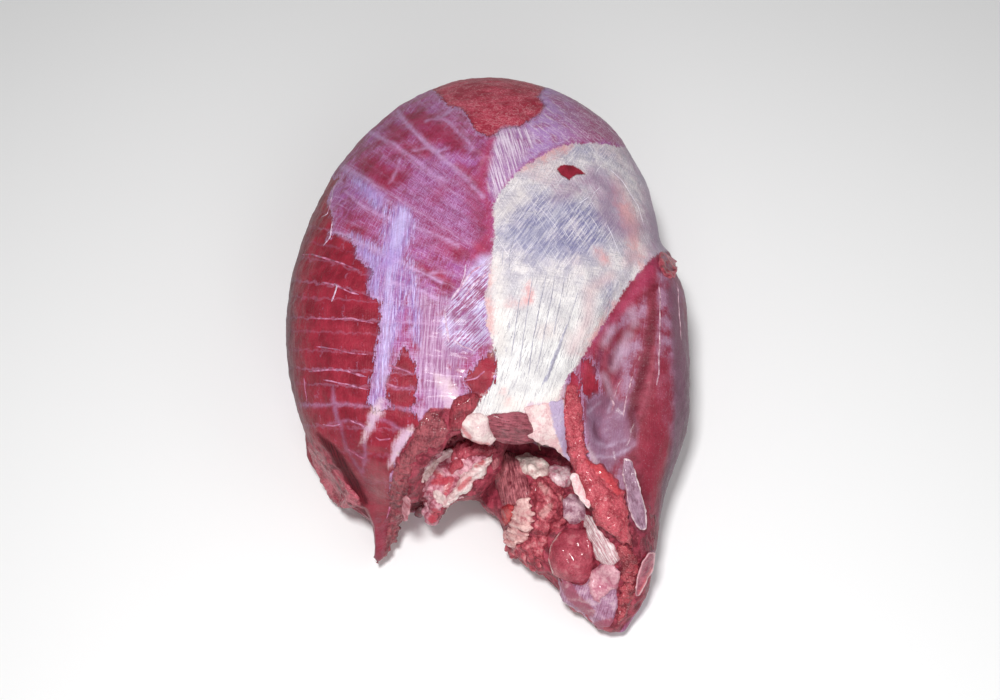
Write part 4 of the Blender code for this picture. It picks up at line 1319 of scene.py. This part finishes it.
def dress(piece, points, shape):  # fields, finish and body of a small piece
    mesh = piece.data
    spots = inPicture(points)
    way, sideways = fibreWays(shape)
    lengthways = np.column_stack((spots @ sideways, spots @ way, np.zeros(len(spots))))
    setField(mesh, "lengthways", lengthways * pixelSize)
    if "rim" in shape:
        setField(mesh, "edge", patch(spots, shape["outline"]))
    setField(mesh, "paleMark", marked(spots, strokes=shape.get("paleMarks", [])))
    setField(mesh, "tintMark", marked(spots, strokes=shape.get("tintMarks", [])))
    mesh.shade_smooth()
    mesh.materials.clear()
    mesh.materials.append(meatFinish(piece.name, shape))
    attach(piece, "root")


def meatFinish(name, shape):
    f = Finish(name)
    place = f.node("TexCoord", {}, output="Object")
    lengthways = f.node("Attribute", {}, output="Vector", attribute_name="lengthways")
    lumps = f.clouds(place, 0.006, 3, 0.6)
    fine = f.clouds(place, 0.0014, 3, 0.65)
    dots = f.clouds(place, 0.0007, 2, 0.6)
    strands = f.threads(lengthways, 0.0007, 0.009, 0, 3, 0.7)
    strand = shape.get("strand", 0)
    mixed = (lumps * 0.68 + fine * 0.32) * (1 - strand) + strands * strand
    coloured = f.blend(mixed.between(0.38, 0.62), ink(*shape["dark"]), ink(*shape["light"]))
    coloured = f.blend(dots.between(0.50, 0.72) * shape.get("flecks", 0.12), coloured, ink(236, 160, 160))
    torn = fine - 0.5
    if "tint" in shape:
        tinted = f.shade(ink(*shape["tint"])[:3], 0.75 + 0.5 * fine)
        coloured = f.blend((f.field("tintMark") + torn * 6).between(-1.5, 1.5) * 0.85, coloured, tinted)
    pale = lumps.between(0.52, 0.68) * shape.get("pale", 0)
    pale = pale.larger((f.field("paleMark") + torn * 4).between(-0.8, 0.8))
    coloured = f.blend(pale * 0.8, coloured, ink(240, 218, 214))
    if "rim" in shape:
        rim = 1 - (f.field("edge") + torn * 2).between(1.2, 2.8)
        coloured = f.blend(rim * 0.85, coloured, ink(*shape["rim"]))
    f.feed(f.skin.inputs["Base Color"], coloured)
    f.feed(f.skin.inputs["Roughness"], 0.22 + 0.35 * fine)
    f.feed(f.skin.inputs["Normal"], f.bump(fine + 0.5 * dots + strand * strands, shape.get("bump", 0.0007)))
    f.skin.inputs["Specular IOR Level"].default_value = 0.35
    f.skin.inputs["Coat Weight"].default_value = shape.get("coat", 0.25)
    f.skin.inputs["Coat Roughness"].default_value = 0.12
    return f.material


def makeKneeEnd(body):
    tree = BVHTree.FromObject(body, bpy.context.evaluated_depsgraph_get())
    pads = [makePad(name, shape, tree, seed) for seed, (name, shape) in enumerate(kneePieces.items())]
    pads.append(makeFingers(tree))
    pads.append(makeThread(tree))
    pads += [makeSinews(name, group, tree) for name, group in sinews.items()]
    print("knee end", len(pads), "pads,", sum(len(pad.data.polygons) for pad in pads) * 2, "triangles")


def makeStudio():
    builder = bmesh.new()
    bmesh.ops.create_grid(builder, x_segments=1, y_segments=1, size=3)
    finish = Finish("pale floor")
    finish.skin.inputs["Base Color"].default_value = (0.9, 0.9, 0.9, 1)
    finish.skin.inputs["Roughness"].default_value = 0.8
    floor = newPiece("floor", builder, finish.material)

    world = bpy.data.worlds.new("studio")
    bpy.context.scene.world = world
    world.use_nodes = True
    world.node_tree.nodes["Background"].inputs["Color"].default_value = (1, 1, 1, 1)
    world.node_tree.nodes["Background"].inputs["Strength"].default_value = 0.16

    lamps = {
        "key": {"place": (-0.08, -0.32, 1.00), "size": 0.12, "power": 8.2},
        "fill": {"place": (0.55, -0.25, 0.75), "size": 0.60, "power": 1.0},
        "front": {"place": (0.10, -0.75, 0.62), "size": 0.50, "power": 2.0},
    }
    for name, lamp in lamps.items():
        light = bpy.data.objects.new(name, bpy.data.lights.new(name, "AREA"))
        light.data.size = lamp["size"]
        light.data.energy = lamp["power"]
        light.location = lamp["place"]
        light.rotation_mode = "QUATERNION"
        light.rotation_quaternion = (light.location - Vector(view["target"])).to_track_quat("Z", "Y")
        bpy.context.scene.collection.objects.link(light)
    bpy.context.scene.view_settings.view_transform = "Standard"


makeCamera()
makeStudio()
makeKneeEnd(makeSkin())
